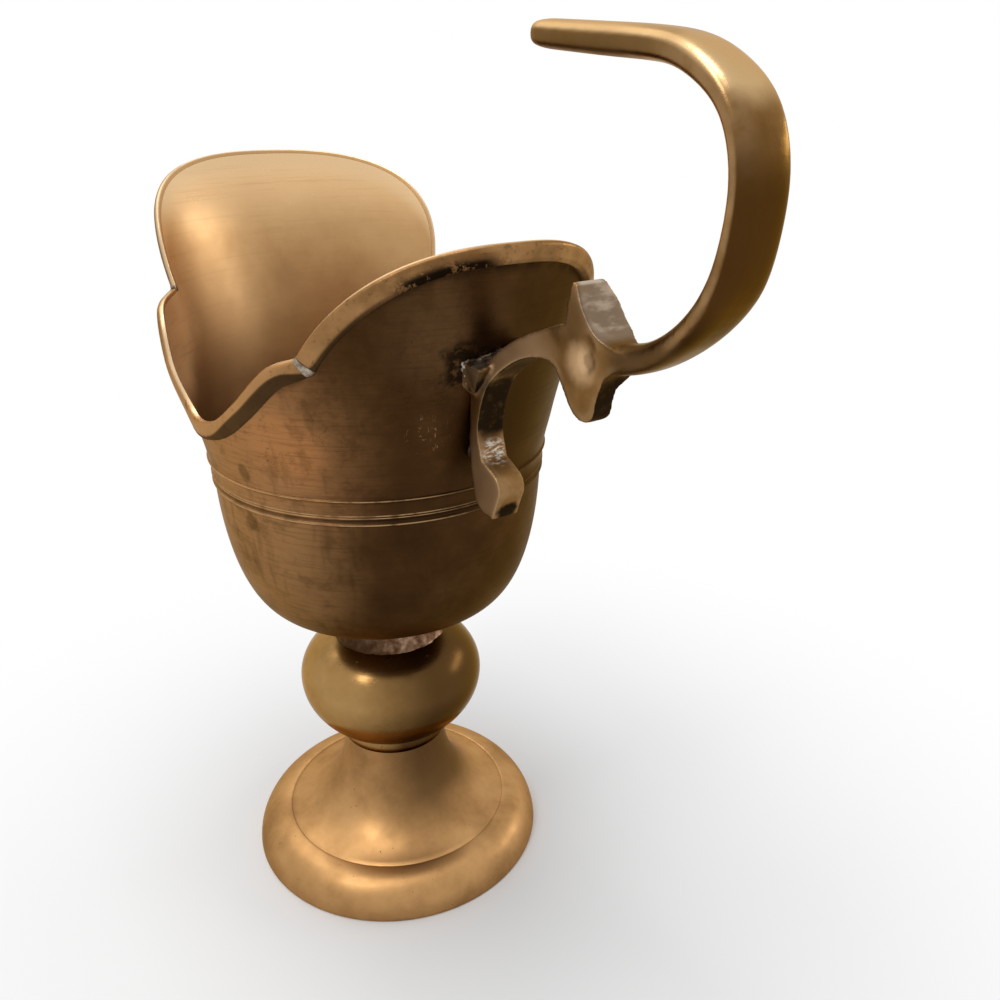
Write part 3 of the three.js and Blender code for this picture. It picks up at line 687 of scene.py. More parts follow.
# %% Handle lug
LUG_BREADTH, LUG_TOP, LUG_BOTTOM, LUG_BITE = 15, 5.4, -6, 0.9
LUG_FRONT_TOP, LUG_FRONT_BOTTOM = 7.4, -0.3
LUG_TAPER, LUG_SLOPE = 0.55, 3.2
LUG_BACK_POINTS = 5
HAIR = 0.1


def pick(piece, chosen):
    """Select the vertices that a test chooses by (outwards, across, up) from the lug, in edit mode."""
    unselect("VERT")
    for vertex in piece.data.vertices:
        vertex.select = chosen(*(vertex.co / MM - Vector((AXIS / MM + LUG_X, 0, LUG_Z))))
    bpy.ops.object.mode_set(mode="EDIT")


lug_heights = np.linspace(LUG_TOP, LUG_BOTTOM, LUG_BACK_POINTS)
lug_back = [(wall_radius(LUG_Z + z, 0) - LUG_X - LUG_BITE, z) for z in lug_heights]
lug_front = [(LUG_FRONT_BOTTOM, LUG_BOTTOM), (LUG_FRONT_TOP, LUG_TOP)]
lug = plate("lug", [*lug_back, *lug_front], LUG_BREADTH)
pick(lug, lambda out, across, up: up < LUG_BOTTOM + HAIR)
bpy.ops.transform.resize(value=(1, LUG_TAPER, 1))
bpy.ops.object.mode_set(mode="OBJECT")
pick(lug, lambda out, across, up: across < 0 and up > LUG_TOP - HAIR)
bpy.ops.transform.translate(value=(0, 0, -LUG_SLOPE * MM))
bpy.ops.object.mode_set(mode="OBJECT")
print("lug of", len(lug.data.polygons), "faces")

# %% [markdown]
# The strap rises from the bracket and hooks back over the bowl. Its breadth and thickness change along
# the way, which a bevelled curve could only do with a taper for both at once, so it is laid in rings
# along its middle line, each an oblong with rounded corners, and rounded off at the free end.

# %% Handle strap
STRAP_RINGS, STRAP_SIDES = 150, 28
STRAP_CORNER = 0.68
STRAP_END, STRAP_END_ROUND = 6.3, 0.9
ROUTE_ROUNDS = 30
ROUTE_STEPS, SIZE_STEPS = 40, 20

strap_route = [
    (41.7, 10.8), (54.0, 13.8), (62.4, 18.4), (68.7, 24.0), (73.2, 31), (75.4, 43.3),
    (74.7, 51.2), (70.9, 59.1), (61.2, 65.4), (53, 67.2), (40, 68.5), (19.2, 70.6),
]
strap_thickness = [(0, 6.4), (0.14, 5.6), (0.3, 5.1), (0.45, 4.4), (0.62, 5.3), (0.8, 5.6), (1, 5.2)]
strap_breadth = [(0, 7.4), (0.09, 7.7), (0.27, 12.5), (0.4, 12.8), (1, 12.6)]


def strap_line():
    """The strap's middle line in even steps, with its bends eased."""
    line = evenly(curve_through(strap_route, ROUTE_STEPS), STRAP_RINGS - 1)
    for _ in range(ROUTE_ROUNDS):
        line[1:-1] = (line[:-2] + 2 * line[1:-1] + line[2:]) / 4
    return line


def strap_ring(spot, outwards, thickness, breadth):
    """One oblong section with rounded corners, square to the line."""
    ring = []
    for side in range(STRAP_SIDES):
        turn = 2 * math.pi * side / STRAP_SIDES
        across, out = (math.copysign(abs(v) ** STRAP_CORNER, v) / 2 for v in (math.cos(turn), math.sin(turn)))
        ring.append(in_handle_plane(*(spot + out * thickness * outwards), across * breadth))
    return ring


def strap_rings():
    """The strap's sections along its middle line, rounded off at the free end."""
    line = strap_line()
    along = np.gradient(line, axis=0)
    along /= np.linalg.norm(along, axis=1)[:, None]
    end_share = STRAP_END / np.linalg.norm(np.diff(line, axis=0), axis=1).sum()
    sizes = [np.transpose(curve_through(table, SIZE_STEPS)) for table in (strap_thickness, strap_breadth)]
    rings = []
    for share, spot, ahead in zip(np.linspace(0, 1, STRAP_RINGS), line, along):
        thickness, breadth = (np.interp(share, *size) for size in sizes)
        past = max((share - 1 + end_share) / end_share, 0)
        rounding = math.sqrt(1 - STRAP_END_ROUND * past * past)
        outwards = np.array([ahead[1], -ahead[0]])
        rings.append(strap_ring(spot, outwards, thickness * math.sqrt(rounding), breadth * rounding))
    return rings


strap = lay_rings("strap", strap_rings())
print("strap of", len(strap.data.polygons), "faces")

# %% [markdown]
# The blanks become one casting. A Boolean union alone would leave knife-sharp corners where they meet,
# while a founder's pattern has soft fillets, so the union is remeshed in fine voxels, and a Smooth
# modifier rounds every edge a little.

# %% Handle casting
VOXEL = 0.42 * MM


def apply_modifier(piece, kind, **values):
    """Add a modifier, set it up and apply it."""
    take_up(piece)
    modifier = piece.modifiers.new(kind.lower(), kind)
    for key, value in values.items():
        setattr(modifier, key, value)
    bpy.ops.object.modifier_apply(modifier=modifier.name)


for blank in (lug, strap):
    apply_modifier(handle, "BOOLEAN", operation="UNION", object=blank, solver="EXACT")
    bpy.data.objects.remove(blank)
apply_modifier(handle, "REMESH", mode="VOXEL", voxel_size=VOXEL)
apply_modifier(handle, "SMOOTH", factor=0.5, iterations=6)
print("rough casting of", len(handle.data.polygons), "faces")

# %% [markdown]
# The file left the bracket uneven: the spur is fuller on both sides, the far side of the drop is drawn
# in, and two shallow dents lie on the hub. Sculpting needs a window, so a few points are moved and
# proportional editing carries their neighbours along softly.

# %% Handle filed up
HANDLE_CRISP = 60
FLANK = 3
SPUR_OUT, SPUR_UP, SPUR_REACH = (30, 48), (17, 21), 6
SPUR_FULLER_NEAR, SPUR_FULLER_FAR = -0.7, 2.0
DROP_OUT, DROP_TOP, DROP_FLANK, DROP_REACH, DROP_DRAWN_IN = (37, 46), 5, 1.5, 4, -2.9
HUB_DENTS = [((39.8, 10.6), 0.42), ((40.4, 14.2), 0.25)]
DENT_CORE, DENT_REACH = 0.8, 2.4


def ease(piece, chosen, reach, across):
    """Move the vertices that a test chooses across the handle and, softly, their neighbours within reach."""
    pick(piece, chosen)
    bpy.ops.transform.translate(
        value=(0, across * MM, 0),
        use_proportional_edit=True,
        use_proportional_connected=True,
        proportional_edit_falloff="SMOOTH",
        proportional_size=reach * MM,
    )
    bpy.ops.object.mode_set(mode="OBJECT")


def on_spur(out, up):
    return SPUR_OUT[0] < out < SPUR_OUT[1] and SPUR_UP[0] < up < SPUR_UP[1]


def on_drop(out, up):
    return DROP_OUT[0] < out < DROP_OUT[1] and up < DROP_TOP


def in_dent(out, up, middle):
    return math.dist((out, up), middle) < DENT_CORE


ease(handle, lambda out, across, up: across < -FLANK and on_spur(out, up), SPUR_REACH, SPUR_FULLER_NEAR)
ease(handle, lambda out, across, up: across > FLANK and on_spur(out, up), SPUR_REACH, SPUR_FULLER_FAR)
ease(handle, lambda out, across, up: across > DROP_FLANK and on_drop(out, up), DROP_REACH, DROP_DRAWN_IN)
for dent, deep in HUB_DENTS:
    ease(handle, lambda out, across, up: across < -FLANK and in_dent(out, up, dent), DENT_REACH, deep)
smooth(handle, HANDLE_CRISP)
settle(handle, "handle")

# %% [markdown]
# Silver solder is what holds the bowl to the knop: a ring run into the corner and left rough, greyer and
# pinker than the brass. It is spun like the turned pieces, then a cloud texture pushes it in and out so
# that it looks run, not cut.

# %% Solder under the bowl
RING_LUMP_SIZE, RING_LUMP_DEPTH = 2.2, 0.4
RING_CRISP = 60


def lumpy(piece, size, depth):
    """Push a mesh in and out with soft clouds."""
    clouds = bpy.data.textures.new("clouds_" + piece.name, "CLOUDS")
    clouds.noise_scale = size * MM
    settings = {"texture": clouds, "texture_coords": "LOCAL", "strength": depth * MM, "mid_level": 0.5}
    apply_modifier(piece, "DISPLACE", **settings)
    bpy.data.textures.remove(clouds)


ring_foot = [(15.0, 79.3), (17.3, 79.05), (18.2, 78.2)]
ring_out = bezier([(18.9, 77.6), (17.6, 79.2), (16.5, 80.6), (15.8, 83.9)], 10)
ring_profile = [*ring_foot, *ring_out, (15.0, 83.9), ring_foot[0]]
solder_ring = turn_piece("solder_ring", ring_profile, TURNED_STEPS)
lumpy(solder_ring, RING_LUMP_SIZE, RING_LUMP_DEPTH)
smooth(solder_ring, RING_CRISP)
settle(solder_ring, "knop_solder")

# %% [markdown]
# The handle is soldered to the wall at the lug and again where the scroll's back comes near it. Solder
# there is a row of beads that ran together: small balls set along the joint, joined, and melted into one
# by a voxel remesh. A swept tube would look too even.

# %% Solder beads
BEAD_VOXEL = 0.28 * MM
BEAD_LUMP_SIZE, BEAD_LUMP_DEPTH = 1.1, 0.45
BEAD_CRISP = 50


def bead_run(name, beads, node):
    """Melt small balls, given as (outwards from the wall, across, up, radius), into one run of solder."""
    bpy.ops.object.select_all(action="DESELECT")
    balls = []
    for out, across, up, size in beads:
        height = LUG_Z + up
        turn = math.asin(across / wall_radius(height, 0))
        radius = (wall_radius(height, turn) + out) * MM
        spot = (AXIS + radius * math.cos(turn), radius * math.sin(turn), height * MM)
        bpy.ops.mesh.primitive_ico_sphere_add(subdivisions=3, radius=size * MM, location=spot)
        balls.append(bpy.context.object)
    for ball in balls:
        ball.select_set(True)
    bpy.ops.object.join()
    run = fresh(name)
    bpy.ops.object.transform_apply(location=True, rotation=True, scale=True)
    apply_modifier(run, "REMESH", mode="VOXEL", voxel_size=BEAD_VOXEL)
    lumpy(run, BEAD_LUMP_SIZE, BEAD_LUMP_DEPTH)
    apply_modifier(run, "SMOOTH", factor=0.5, iterations=3)
    smooth(run, BEAD_CRISP)
    settle(run, node)
    return run


# %% [markdown]
# The beads are strewn by chance, with a fixed seed so that they fall the same way each time: up both
# sides of the lug, along its sloping top, and in three rows behind the scroll.

# %% Solder at the handle
BEAD_SEED, BEAD_SCATTER, BEAD_GROWTH = 11, 0.22, (0.45, 1.2)
SIDE_BEAD, TOP_BEAD, BACK_BEAD = 0.5, 0.65, 1.0
NEAR_BEADS, TOP_BEADS, FAR_BEADS, BACK_BEADS = 20, 46, 26, 16
RUN_LOW, RUN_TOP, RUN_LOW_SHARE = -4, 5.6, 0.7
BACK_ROWS, BACK_LOW, BACK_HIGH = (-1.6, 0, 1.6), -23, -13
SIDE_OUT, TOP_OUT_NEAR, TOP_OUT_FAR, BACK_OUT = 0.1, 0.2, 0.4, 0.3

chance = np.random.default_rng(BEAD_SEED)
lug_half = LUG_BREADTH / 2 + HAIR


def run_along(start, end, count, size):
    """Balls of uneven size strewn along a line of (outwards, across, up)."""
    places = np.linspace(start, end, count) + chance.normal(0, BEAD_SCATTER, (count, 3))
    return [(*spot, size * grow) for spot, grow in zip(places, chance.uniform(*BEAD_GROWTH, count))]


low_half = RUN_LOW_SHARE * lug_half
near_low, near_high = (SIDE_OUT, -low_half, RUN_LOW), (SIDE_OUT, -lug_half, LUG_TOP - LUG_SLOPE)
far_low, far_high = (SIDE_OUT, low_half, RUN_LOW), (SIDE_OUT, lug_half, LUG_TOP)
top_near, top_far = (TOP_OUT_NEAR, -lug_half, RUN_TOP - LUG_SLOPE), (TOP_OUT_FAR, lug_half, RUN_TOP)
near_side = run_along(near_low, near_high, NEAR_BEADS, SIDE_BEAD)
along_top = run_along(top_near, top_far, TOP_BEADS, TOP_BEAD)
far_side = run_along(far_low, far_high, FAR_BEADS, SIDE_BEAD)
lug_run = bead_run("solder_lug", [*near_side, *along_top, *far_side], "lug_solder")
behind_scroll = []
for row in BACK_ROWS:
    row_low, row_high = (BACK_OUT, row, BACK_LOW), (BACK_OUT, row, BACK_HIGH)
    behind_scroll += run_along(row_low, row_high, BACK_BEADS, BACK_BEAD)
back_run = bead_run("solder_back", behind_scroll, "back_solder")

# %% [markdown]
# Wear shows first on ridges, and dirt stays in hollows. Both follow the shape, so the shape is asked: the
# handle is smoothed in thought, and how far every point lies outside or inside the smoothed skin is kept
# on it as a number that its finish can read. Pointiness would do this in Cycles alone, and the exported
# model would lose it.

# %% Ridges and hollows
RIDGE_SIZE = 0.25 * MM
RIDGE_ROUNDS = 60


def mark_ridges(piece, rounds):
    """Keep, on every vertex, how far it stands out of the smoothed shape, from -1 to 1."""
    mesh = piece.data
    count = len(mesh.vertices)
    spots = np.empty(3 * count)
    mesh.vertices.foreach_get("co", spots)
    spots = spots.reshape(-1, 3)
    normals = np.empty(3 * count)
    mesh.vertices.foreach_get("normal", normals)
    ends = np.empty(2 * len(mesh.edges), int)
    mesh.edges.foreach_get("vertices", ends)
    a, b = ends.reshape(-1, 2).T
    links = np.maximum(np.bincount(ends, minlength=count), 1)[:, None]
    soft = spots.copy()
    for _ in range(rounds):
        total = np.zeros_like(soft)
        np.add.at(total, a, soft[b])
        np.add.at(total, b, soft[a])
        soft = 0.5 * soft + 0.5 * total / links
    out = ((spots - soft) * normals.reshape(-1, 3)).sum(axis=1) / RIDGE_SIZE
    keep_number(piece, "ridge", np.clip(out, -1, 1))


mark_ridges(handle, RIDGE_ROUNDS)

# %% [markdown]
# A shadow is painted under the lip, and a highlight along the edge inside it, so every point of the bowl
# also keeps its distance below the rim. The rim rises and falls, so height alone wouldn't say that.

# %% Distance under the lip


def mark_under_lip(piece):
    """Keep, on every vertex, how many millimetres it lies below the rim."""
    edges = [station(i)[0] for i in range(-SPOUT_STATION, SPOUT_STATION + 1)]
    turns, heights = np.transpose(edges) / [[BELT_RADIUS], [1]]
    order = np.argsort(turns, kind="stable")
    values = []
    for vertex in piece.data.vertices:
        turn = math.atan2(vertex.co.y, vertex.co.x - AXIS)
        values.append(np.interp(turn, turns[order], heights[order]) - vertex.co.z / MM)
    keep_number(piece, "under_lip", values)


mark_under_lip(bowl)

# %% [markdown]
# Finishes are built from shader nodes. They could be strung together one by one, as in the node editor,
# but the trees here are long, so a handful of small tools keeps them readable: one adds a node and fills
# its inputs, the others are sums, a soft step, a mix of two colours, and a tone laid over a colour where
# a mask says so.

# %% Tools for nodes


def put(tree, kind, inputs, **settings):
    """Add a shader node, set its options, and fill its inputs with values or links."""
    node = tree.nodes.new("ShaderNode" + kind)
    for key, value in settings.items():
        setattr(node, key, value)
    for key, value in inputs.items():
        if isinstance(value, bpy.types.NodeSocket):
            tree.links.new(value, node.inputs[key])
        else:
            node.inputs[key].default_value = value
    return node


def maths(tree, operation, a, b=0.0):
    return put(tree, "Math", {0: a, 1: b}, operation=operation).outputs[0]


def times(tree, a, b):
    return maths(tree, "MULTIPLY", a, b)


def plus(tree, a, b):
    return maths(tree, "ADD", a, b)


def larger(tree, a, b):
    return maths(tree, "MAXIMUM", a, b)


def vector(tree, operation, *inputs):
    """The outputs of a vector sum: 0 is a vector, "Value" a number."""
    return put(tree, "VectorMath", dict(enumerate(inputs)), operation=operation).outputs


def level(tree, value, low, high, bottom=0.0, top=1.0):
    """A soft step: bottom below low, top above high."""
    inputs = {"Value": value, "From Min": low, "From Max": high, "To Min": bottom, "To Max": top}
    return put(tree, "MapRange", inputs, interpolation_type="SMOOTHSTEP").outputs["Result"]


def band(tree, value, rising, full, falling, gone):
    """A soft band, up between the first two values and down between the last two."""
    return times(tree, level(tree, value, rising, full), level(tree, value, falling, gone, 1, 0))


def mixed(tree, share, first, second):
    """One colour turning into another."""
    first, second = ((*c, 1) if isinstance(c, tuple) else c for c in (first, second))
    return put(tree, "Mix", {0: share, 6: first, 7: second}, data_type="RGBA").outputs[2]


def laid(tree, colour, tone, mask, share):
    """A tone laid over a colour where a mask says, up to a share."""
    return mixed(tree, times(tree, mask, share), colour, tone)


# %% [markdown]
# Every metal finish begins alike. It is measured in millimetres from the turning axis, so that a stain is
# as big on the bowl as it is in life, and brass has a warm edge tint. Some patterns run round the work,
# so they are given the place as the lathe sees it: radius, length round, height.

# %% Tools for a metal
EDGE_TINT = (0.85, 0.68, 0.5)
CRUST_DULLS = 0.35


def begin(name):
    """A new metal finish: its tree, its shader and the place on the object in millimetres from the axis."""
    material = bpy.data.materials.new(name)
    material.use_nodes = True
    tree = material.node_tree
    shader = tree.nodes["Principled BSDF"]
    shader.inputs["Metallic"].default_value = 1.0
    shader.inputs["Specular Tint"].default_value = (*EDGE_TINT, 1)
    where = put(tree, "TexCoord", {}).outputs["Object"]
    scale = (1 / MM,) * 3
    place = put(tree, "Mapping", {"Vector": where, "Location": (-AXIS / MM, 0, 0), "Scale": scale}).outputs[0]
    return material, tree, shader, place


def on_lathe(tree, place):
    """The place as (radius, arc length, height), so that a pattern can run round the work."""
    x, y, z = put(tree, "SeparateXYZ", {"Vector": place}).outputs
    flat = put(tree, "CombineXYZ", {"X": x, "Y": y}).outputs[0]
    radius = vector(tree, "LENGTH", flat)["Value"]
    arc = times(tree, maths(tree, "ARCTAN2", y, x), BELT_RADIUS)
    return put(tree, "CombineXYZ", {"X": radius, "Y": arc, "Z": z}).outputs[0]


def height_of(tree, place):
    return put(tree, "SeparateXYZ", {"Vector": place}).outputs["Z"]


def attribute(tree, name):
    """A number that was kept on the piece's vertices."""
    return put(tree, "Attribute", {}, attribute_name=name).outputs["Fac"]


def colour_it(tree, shader, colour):
    tree.links.new(colour, shader.inputs["Base Color"])


def dull_it(tree, shader, dull):
    tree.links.new(dull, shader.inputs["Roughness"])


def crust(tree, shader, dirt_and_shade, dull):
    """Where grime and painted shade lie, the surface is duller."""
    dull_it(tree, shader, plus(tree, dull, times(tree, dirt_and_shade, CRUST_DULLS)))


def bump(tree, shader, height, depth):
    """Let a grey height raise the surface by up to so many millimetres."""
    node = put(tree, "Bump", {"Height": height, "Strength": 1.0, "Distance": depth * MM})
    tree.links.new(node.outputs["Normal"], shader.inputs["Normal"])


# %% [markdown]
# Stains, drips, scratches and the painted light and shade are grown from noise and kept in their places by
# masks: a ragged patch round a point, a side of the axis, the way a face looks. Painted textures could show
# the same, but nodes need no picture and no unwrapping, and stay sharp at any distance.

# %% Tools for stains


def grain(tree, place, scale, detail=4.0, rough=0.55, stretch=(1, 1, 1)):
    """Noise with so many waves in a millimetre, squeezed along any axis."""
    if stretch != (1, 1, 1):
        place = put(tree, "Mapping", {"Vector": place, "Scale": stretch}).outputs[0]
    inputs = {"Vector": place, "Scale": scale, "Detail": detail, "Roughness": rough}
    return put(tree, "TexNoise", inputs).outputs["Fac"]


def hairlines(tree, noise, thin, wide):
    """Fine lines where a noise passes through its middle."""
    return level(tree, maths(tree, "ABSOLUTE", plus(tree, noise, -0.5)), thin, wide, 1, 0)


def drift(tree, factor, tones):
    """A colour that drifts through several tones, each with its place from 0 to 1."""
    node = put(tree, "ValToRGB", {"Fac": factor})
    stops = node.color_ramp.elements
    while len(stops) < len(tones):
        stops.new(0.5)
    for stop, (place, colour) in zip(stops, tones):
        stop.position = place
        stop.color = (*colour, 1)
    return node.outputs["Color"]


PATCH_WAVES = 1.6


def patch(tree, place, middle, reach, wobble=0.35, size=(1, 1, 1), core=0.55):
    """A soft patch round a point, ragged by the wobble; size stretches it, and within the core it is full."""
    away = vector(tree, "SUBTRACT", place, middle)[0]
    away = vector(tree, "MULTIPLY", away, tuple(1 / (reach * k) for k in size))[0]
    distance = vector(tree, "LENGTH", away)["Value"]
    ragged = times(tree, plus(tree, grain(tree, place, PATCH_WAVES / reach), -0.5), 2 * wobble)
    return level(tree, plus(tree, distance, ragged), core, 1.0, 1, 0)


def facing(tree, axis, low, high):
    """How far the surface faces along an axis, as a soft step."""
    normal = put(tree, "TexCoord", {}).outputs["Normal"]
    return level(tree, put(tree, "SeparateXYZ", {"Vector": normal}).outputs[axis], low, high)


def towards(tree, place, azimuth, low, high):
    """A soft step by how far a point lies on one side of the axis, from -1 to 1."""
    flat = vector(tree, "MULTIPLY", place, (1, 1, 0))[0]
    way = vector(tree, "NORMALIZE", flat)[0]
    aim = (math.cos(math.radians(azimuth)), math.sin(math.radians(azimuth)), 0)
    return level(tree, vector(tree, "DOT_PRODUCT", way, aim)["Value"], low, high)


# %% [markdown]
# Turned brass: the foot and knop were polished on the lathe and then handled for a century. The colour
# drifts between honey and brown, fine rings from the tool and the buff run round, and small dark pits are
# left from the casting. Shade is painted on in brown, on the foot's neck and all over the knop, most low
# on it, and less on the lit left side. Both pieces share one recipe, with tones of their own.

# %% Turned brass
LEFT_AZIMUTH = -105
PIT_TONE = (0.06, 0.032, 0.012)
RING_STRETCH = (1, 0.012, 1)
# Here and in later finishes, four numbers are a soft step: two values and what it gives before and after.
SMEARED, SMEAR_SHARE = (0.56, 0.72), 0.35
PITTED, PIT_SHARE, PIT_DULLS, PIT_SINKS = (0.735, 0.77), 0.7, 0.25, -2.0
# The lit side, where less brown shade is painted.
LIT_SIDE, LIT_SHARE = (LEFT_AZIMUTH, -0.3, 0.75), 0.9
RING_DULLS, TURNED_RELIEF = 0.10, 0.01
FOOT_TONES = [(0.25, (0.25, 0.13, 0.048)), (0.5, (0.42, 0.23, 0.09)), (0.75, (0.54, 0.305, 0.125))]
# Tones of painted shade for foot and knop, and the soft steps by height where it is painted.
FOOT_SHADE_TONE, FOOT_SHADE_BY_HEIGHT, FOOT_DULL = (0.115, 0.059, 0.0215), (12, 25, 0, 0.95), (0.35, 0.7, 0.42, 0.3)
KNOP_TONES = [(0.25, (0.23, 0.125, 0.04)), (0.5, (0.36, 0.205, 0.072)), (0.75, (0.45, 0.27, 0.105))]
KNOP_SHADE_TONE, KNOP_SHADE_BY_HEIGHT, KNOP_DULL = (0.07, 0.034, 0.0105), (44, 66, 1.35, 0.95), (0.35, 0.7, 0.22, 0.13)


def turned_brass(name, tones, brown, painted_dark, dulled):
    """Polished brass with shade painted on in brown by height, less on the lit side, and dulled by its
    clouds.
    """
    material, tree, shader, place = begin(name)
    lathe = on_lathe(tree, place)
    cloud = grain(tree, place, scale=0.05, detail=6, rough=0.62)
    smear = level(tree, grain(tree, lathe, scale=0.09, detail=5, rough=0.6, stretch=(1, 0.35, 1)), *SMEARED)
    colour = laid(tree, drift(tree, cloud, tones), tones[0][1], smear, SMEAR_SHARE)
    # Painted shade: brown laid by height, less on the lit side.
    lit = times(tree, towards(tree, place, *LIT_SIDE), -LIT_SHARE)
    painted_shade = times(tree, plus(tree, lit, 1.0), level(tree, height_of(tree, place), *painted_dark))
    colour = mixed(tree, painted_shade, colour, brown)
    pits = level(tree, grain(tree, place, scale=0.8, detail=2, rough=0.5), *PITTED)
    colour_it(tree, shader, laid(tree, colour, PIT_TONE, pits, PIT_SHARE))
    rings = grain(tree, lathe, scale=2.2, detail=3, rough=0.7, stretch=RING_STRETCH)
    dull = plus(tree, level(tree, cloud, *dulled), times(tree, rings, RING_DULLS))
    dull_it(tree, shader, plus(tree, dull, times(tree, pits, PIT_DULLS)))
    bump(tree, shader, plus(tree, rings, times(tree, pits, PIT_SINKS)), TURNED_RELIEF)
    return material


def finish(piece, material):
    """Give a piece its finish."""
    piece.data.materials.append(material)
    print(piece.name, "in", material.name)


finish(foot, turned_brass("satin_foot_brass", FOOT_TONES, FOOT_SHADE_TONE, FOOT_SHADE_BY_HEIGHT, FOOT_DULL))
finish(knop, turned_brass("polished_knop_brass", KNOP_TONES, KNOP_SHADE_TONE, KNOP_SHADE_BY_HEIGHT, KNOP_DULL))

# %% [markdown]
# The bowl is two finishes on one shell. Outside is brown patina with light and shade painted on in patches:
# orange on the left, towards the lamps, and low on the body, lighter by the handle's top, and nearly black
# right of the handle. It is blotched, run with drips and brushed along the turning. Noise alone would
# spread the patches evenly, so each has its own place, reach, tone and share, as seen on the real one.

# %% Bowl patina
BOWL_TONES = [(0.3, (0.037, 0.016, 0.0053)), (0.5, (0.058, 0.0264, 0.009)), (0.7, (0.098, 0.0475, 0.017))]
BROWN_DARK = (0.04, 0.018, 0.0065)
# Patches of painted light on the left and low on the body, and one of painted shade right of the handle.
LIGHT_AND_SHADE_PATCHES = [
    ((13, -52, 160), 44, (0.44, 0.21, 0.083), 0.8),
    ((57, -12, 190), 18, (0.13, 0.07, 0.03), 0.5),
    ((50, 20, 163), 26, (0.028, 0.0125, 0.004), 0.95),
    ((31, -42, 158), 13, (0.42, 0.185, 0.066), 0.75),
    ((12, -47, 124), 35, (0.33, 0.172, 0.07), 0.8),
    ((-24, -48, 140), 44, (0.34, 0.18, 0.073), 0.7),
]
PATCH_SPREAD, PATCH_WOBBLE, PATCH_CORE = 1.12, 0.2, 0.3
BLOTCHED, BLOTCH_SHARE = (0.48, 0.64), 0.34
DRIPPED, DRIP_SHARE = (0.52, 0.7), 0.3
BRUSHED = (0.46, 0.72, 0, 0.36)


def bowl_patina(tree, place, lathe, cloud):
    """Brown brass with patches of painted light and shade, blotches, drips and fine brushing."""
    colour = drift(tree, cloud, BOWL_TONES)
    # Each patch lays its painted light, the dark one its painted shade.
    for middle, reach, rubbed_and_lit, share in LIGHT_AND_SHADE_PATCHES:
        painted_patch = patch(tree, place, middle, PATCH_SPREAD * reach, PATCH_WOBBLE, core=PATCH_CORE)
        colour = laid(tree, colour, rubbed_and_lit, painted_patch, share)
    blotch = level(tree, grain(tree, place, scale=0.12, detail=6, rough=0.66), *BLOTCHED)
    colour = laid(tree, colour, BOWL_TONES[0][1], blotch, BLOTCH_SHARE)
    drips = level(tree, grain(tree, lathe, scale=0.22, detail=4, rough=0.6, stretch=(1, 1, 0.16)), *DRIPPED)
    colour = laid(tree, colour, BROWN_DARK, drips, DRIP_SHARE)
    brushed = grain(tree, lathe, scale=1.3, detail=4, rough=0.7, stretch=(1, 0.05, 1))
    return mixed(tree, level(tree, brushed, *BRUSHED), colour, BROWN_DARK)


# The patches are painted light and shade.
print("patina with", len(LIGHT_AND_SHADE_PATCHES), "rubbed patches")

# %% [markdown]
# On the patina lie the marks of use and some painted light and shade: two dark spots, fine cracks, the
# belt's ridges rubbed bright, with a painted highlight along the near side, dirt in the groove between
# them, a few scratches, a painted shadow under the lip behind the handle, and black crumbly patches round
# the handle. Each is a mask and a tone, laid on one after another.

# %% Bowl marks and painted light and shade
# A near black tone for dirt and for painted shade.
DIRT_AND_SHADE_TONE = (0.016, 0.0095, 0.0055)
DARK_SPOTS = [(15.6, -47.9, 148.2), (13.4, -46.3, 133.2)]
DARK_SPOT_REACHES, DARK_SPOT_SHAPE = (2.6, 2.5), (1, 1, 1.3)
CRACKED = [((24, -45, 158), 15), ((40, -32, 165), 10), ((52, -14, 180), 16)]
BLACK_PATCHES = [((57.4, -5, 180), 9.5), ((46.6, 13.6, 135.2), 3.6)]
SCRATCHED, SCRATCH_TONE = ((51.7, -13.1, 161.8), 7), (0.4, 0.28, 0.17)
# The belt's ridges are rubbed bright, with a painted highlight on the near side.
BELT_WEAR_AND_HIGHLIGHT_TONE, BELT_SIDE, BELT_WORN = (0.5, 0.31, 0.15), (-90, -0.3, 0.4), (0.35, 0.55, 0.35, 1)
BELT_LINES = [
    (143.5, 143.7, 143.9, 144.1), (139.35, 139.5, 139.65, 139.85),
    (138.75, 138.9, 139.0, 139.15), (136.65, 136.88, 137.05, 137.28),
]
BELT_GROOVE = (137.3, 137.6, 138.1, 138.6)
SPOT_SHARE, CRACK_SHARE, BELT_SHARE, GROOVE_SHARE, SCRATCH_SHARE = 0.45, 0.3, 0.8, 0.45, 0.4
# The painted shadow under the lip: its depth, its side and its share.
UNDER_LIP, UNDER_LIP_SIDE, UNDER_LIP_SHARE = (4.4, 8.0, 1, 0), (0, 0.35, 0.85), 0.75
UNEVEN, CRUMBLY = (0.3, 0.6), (0.36, 0.52, 0, 0.85)
SPOT_WOBBLE, BLACK_WOBBLE = 0.15, 0.6
TICK_WIDTH, TICK_BROKEN = (0.002, 0.012), (0.5, 0.56)


def spots_and_cracks(tree, place, colour, cracks):
    for middle, reach in zip(DARK_SPOTS, DARK_SPOT_REACHES):
        spot = patch(tree, place, middle, reach, SPOT_WOBBLE, DARK_SPOT_SHAPE)
        colour = laid(tree, colour, BROWN_DARK, spot, SPOT_SHARE)
    for middle, reach in CRACKED:
        colour = laid(tree, colour, DIRT_AND_SHADE_TONE, times(tree, cracks, patch(tree, place, middle, reach)), CRACK_SHARE)
    return colour


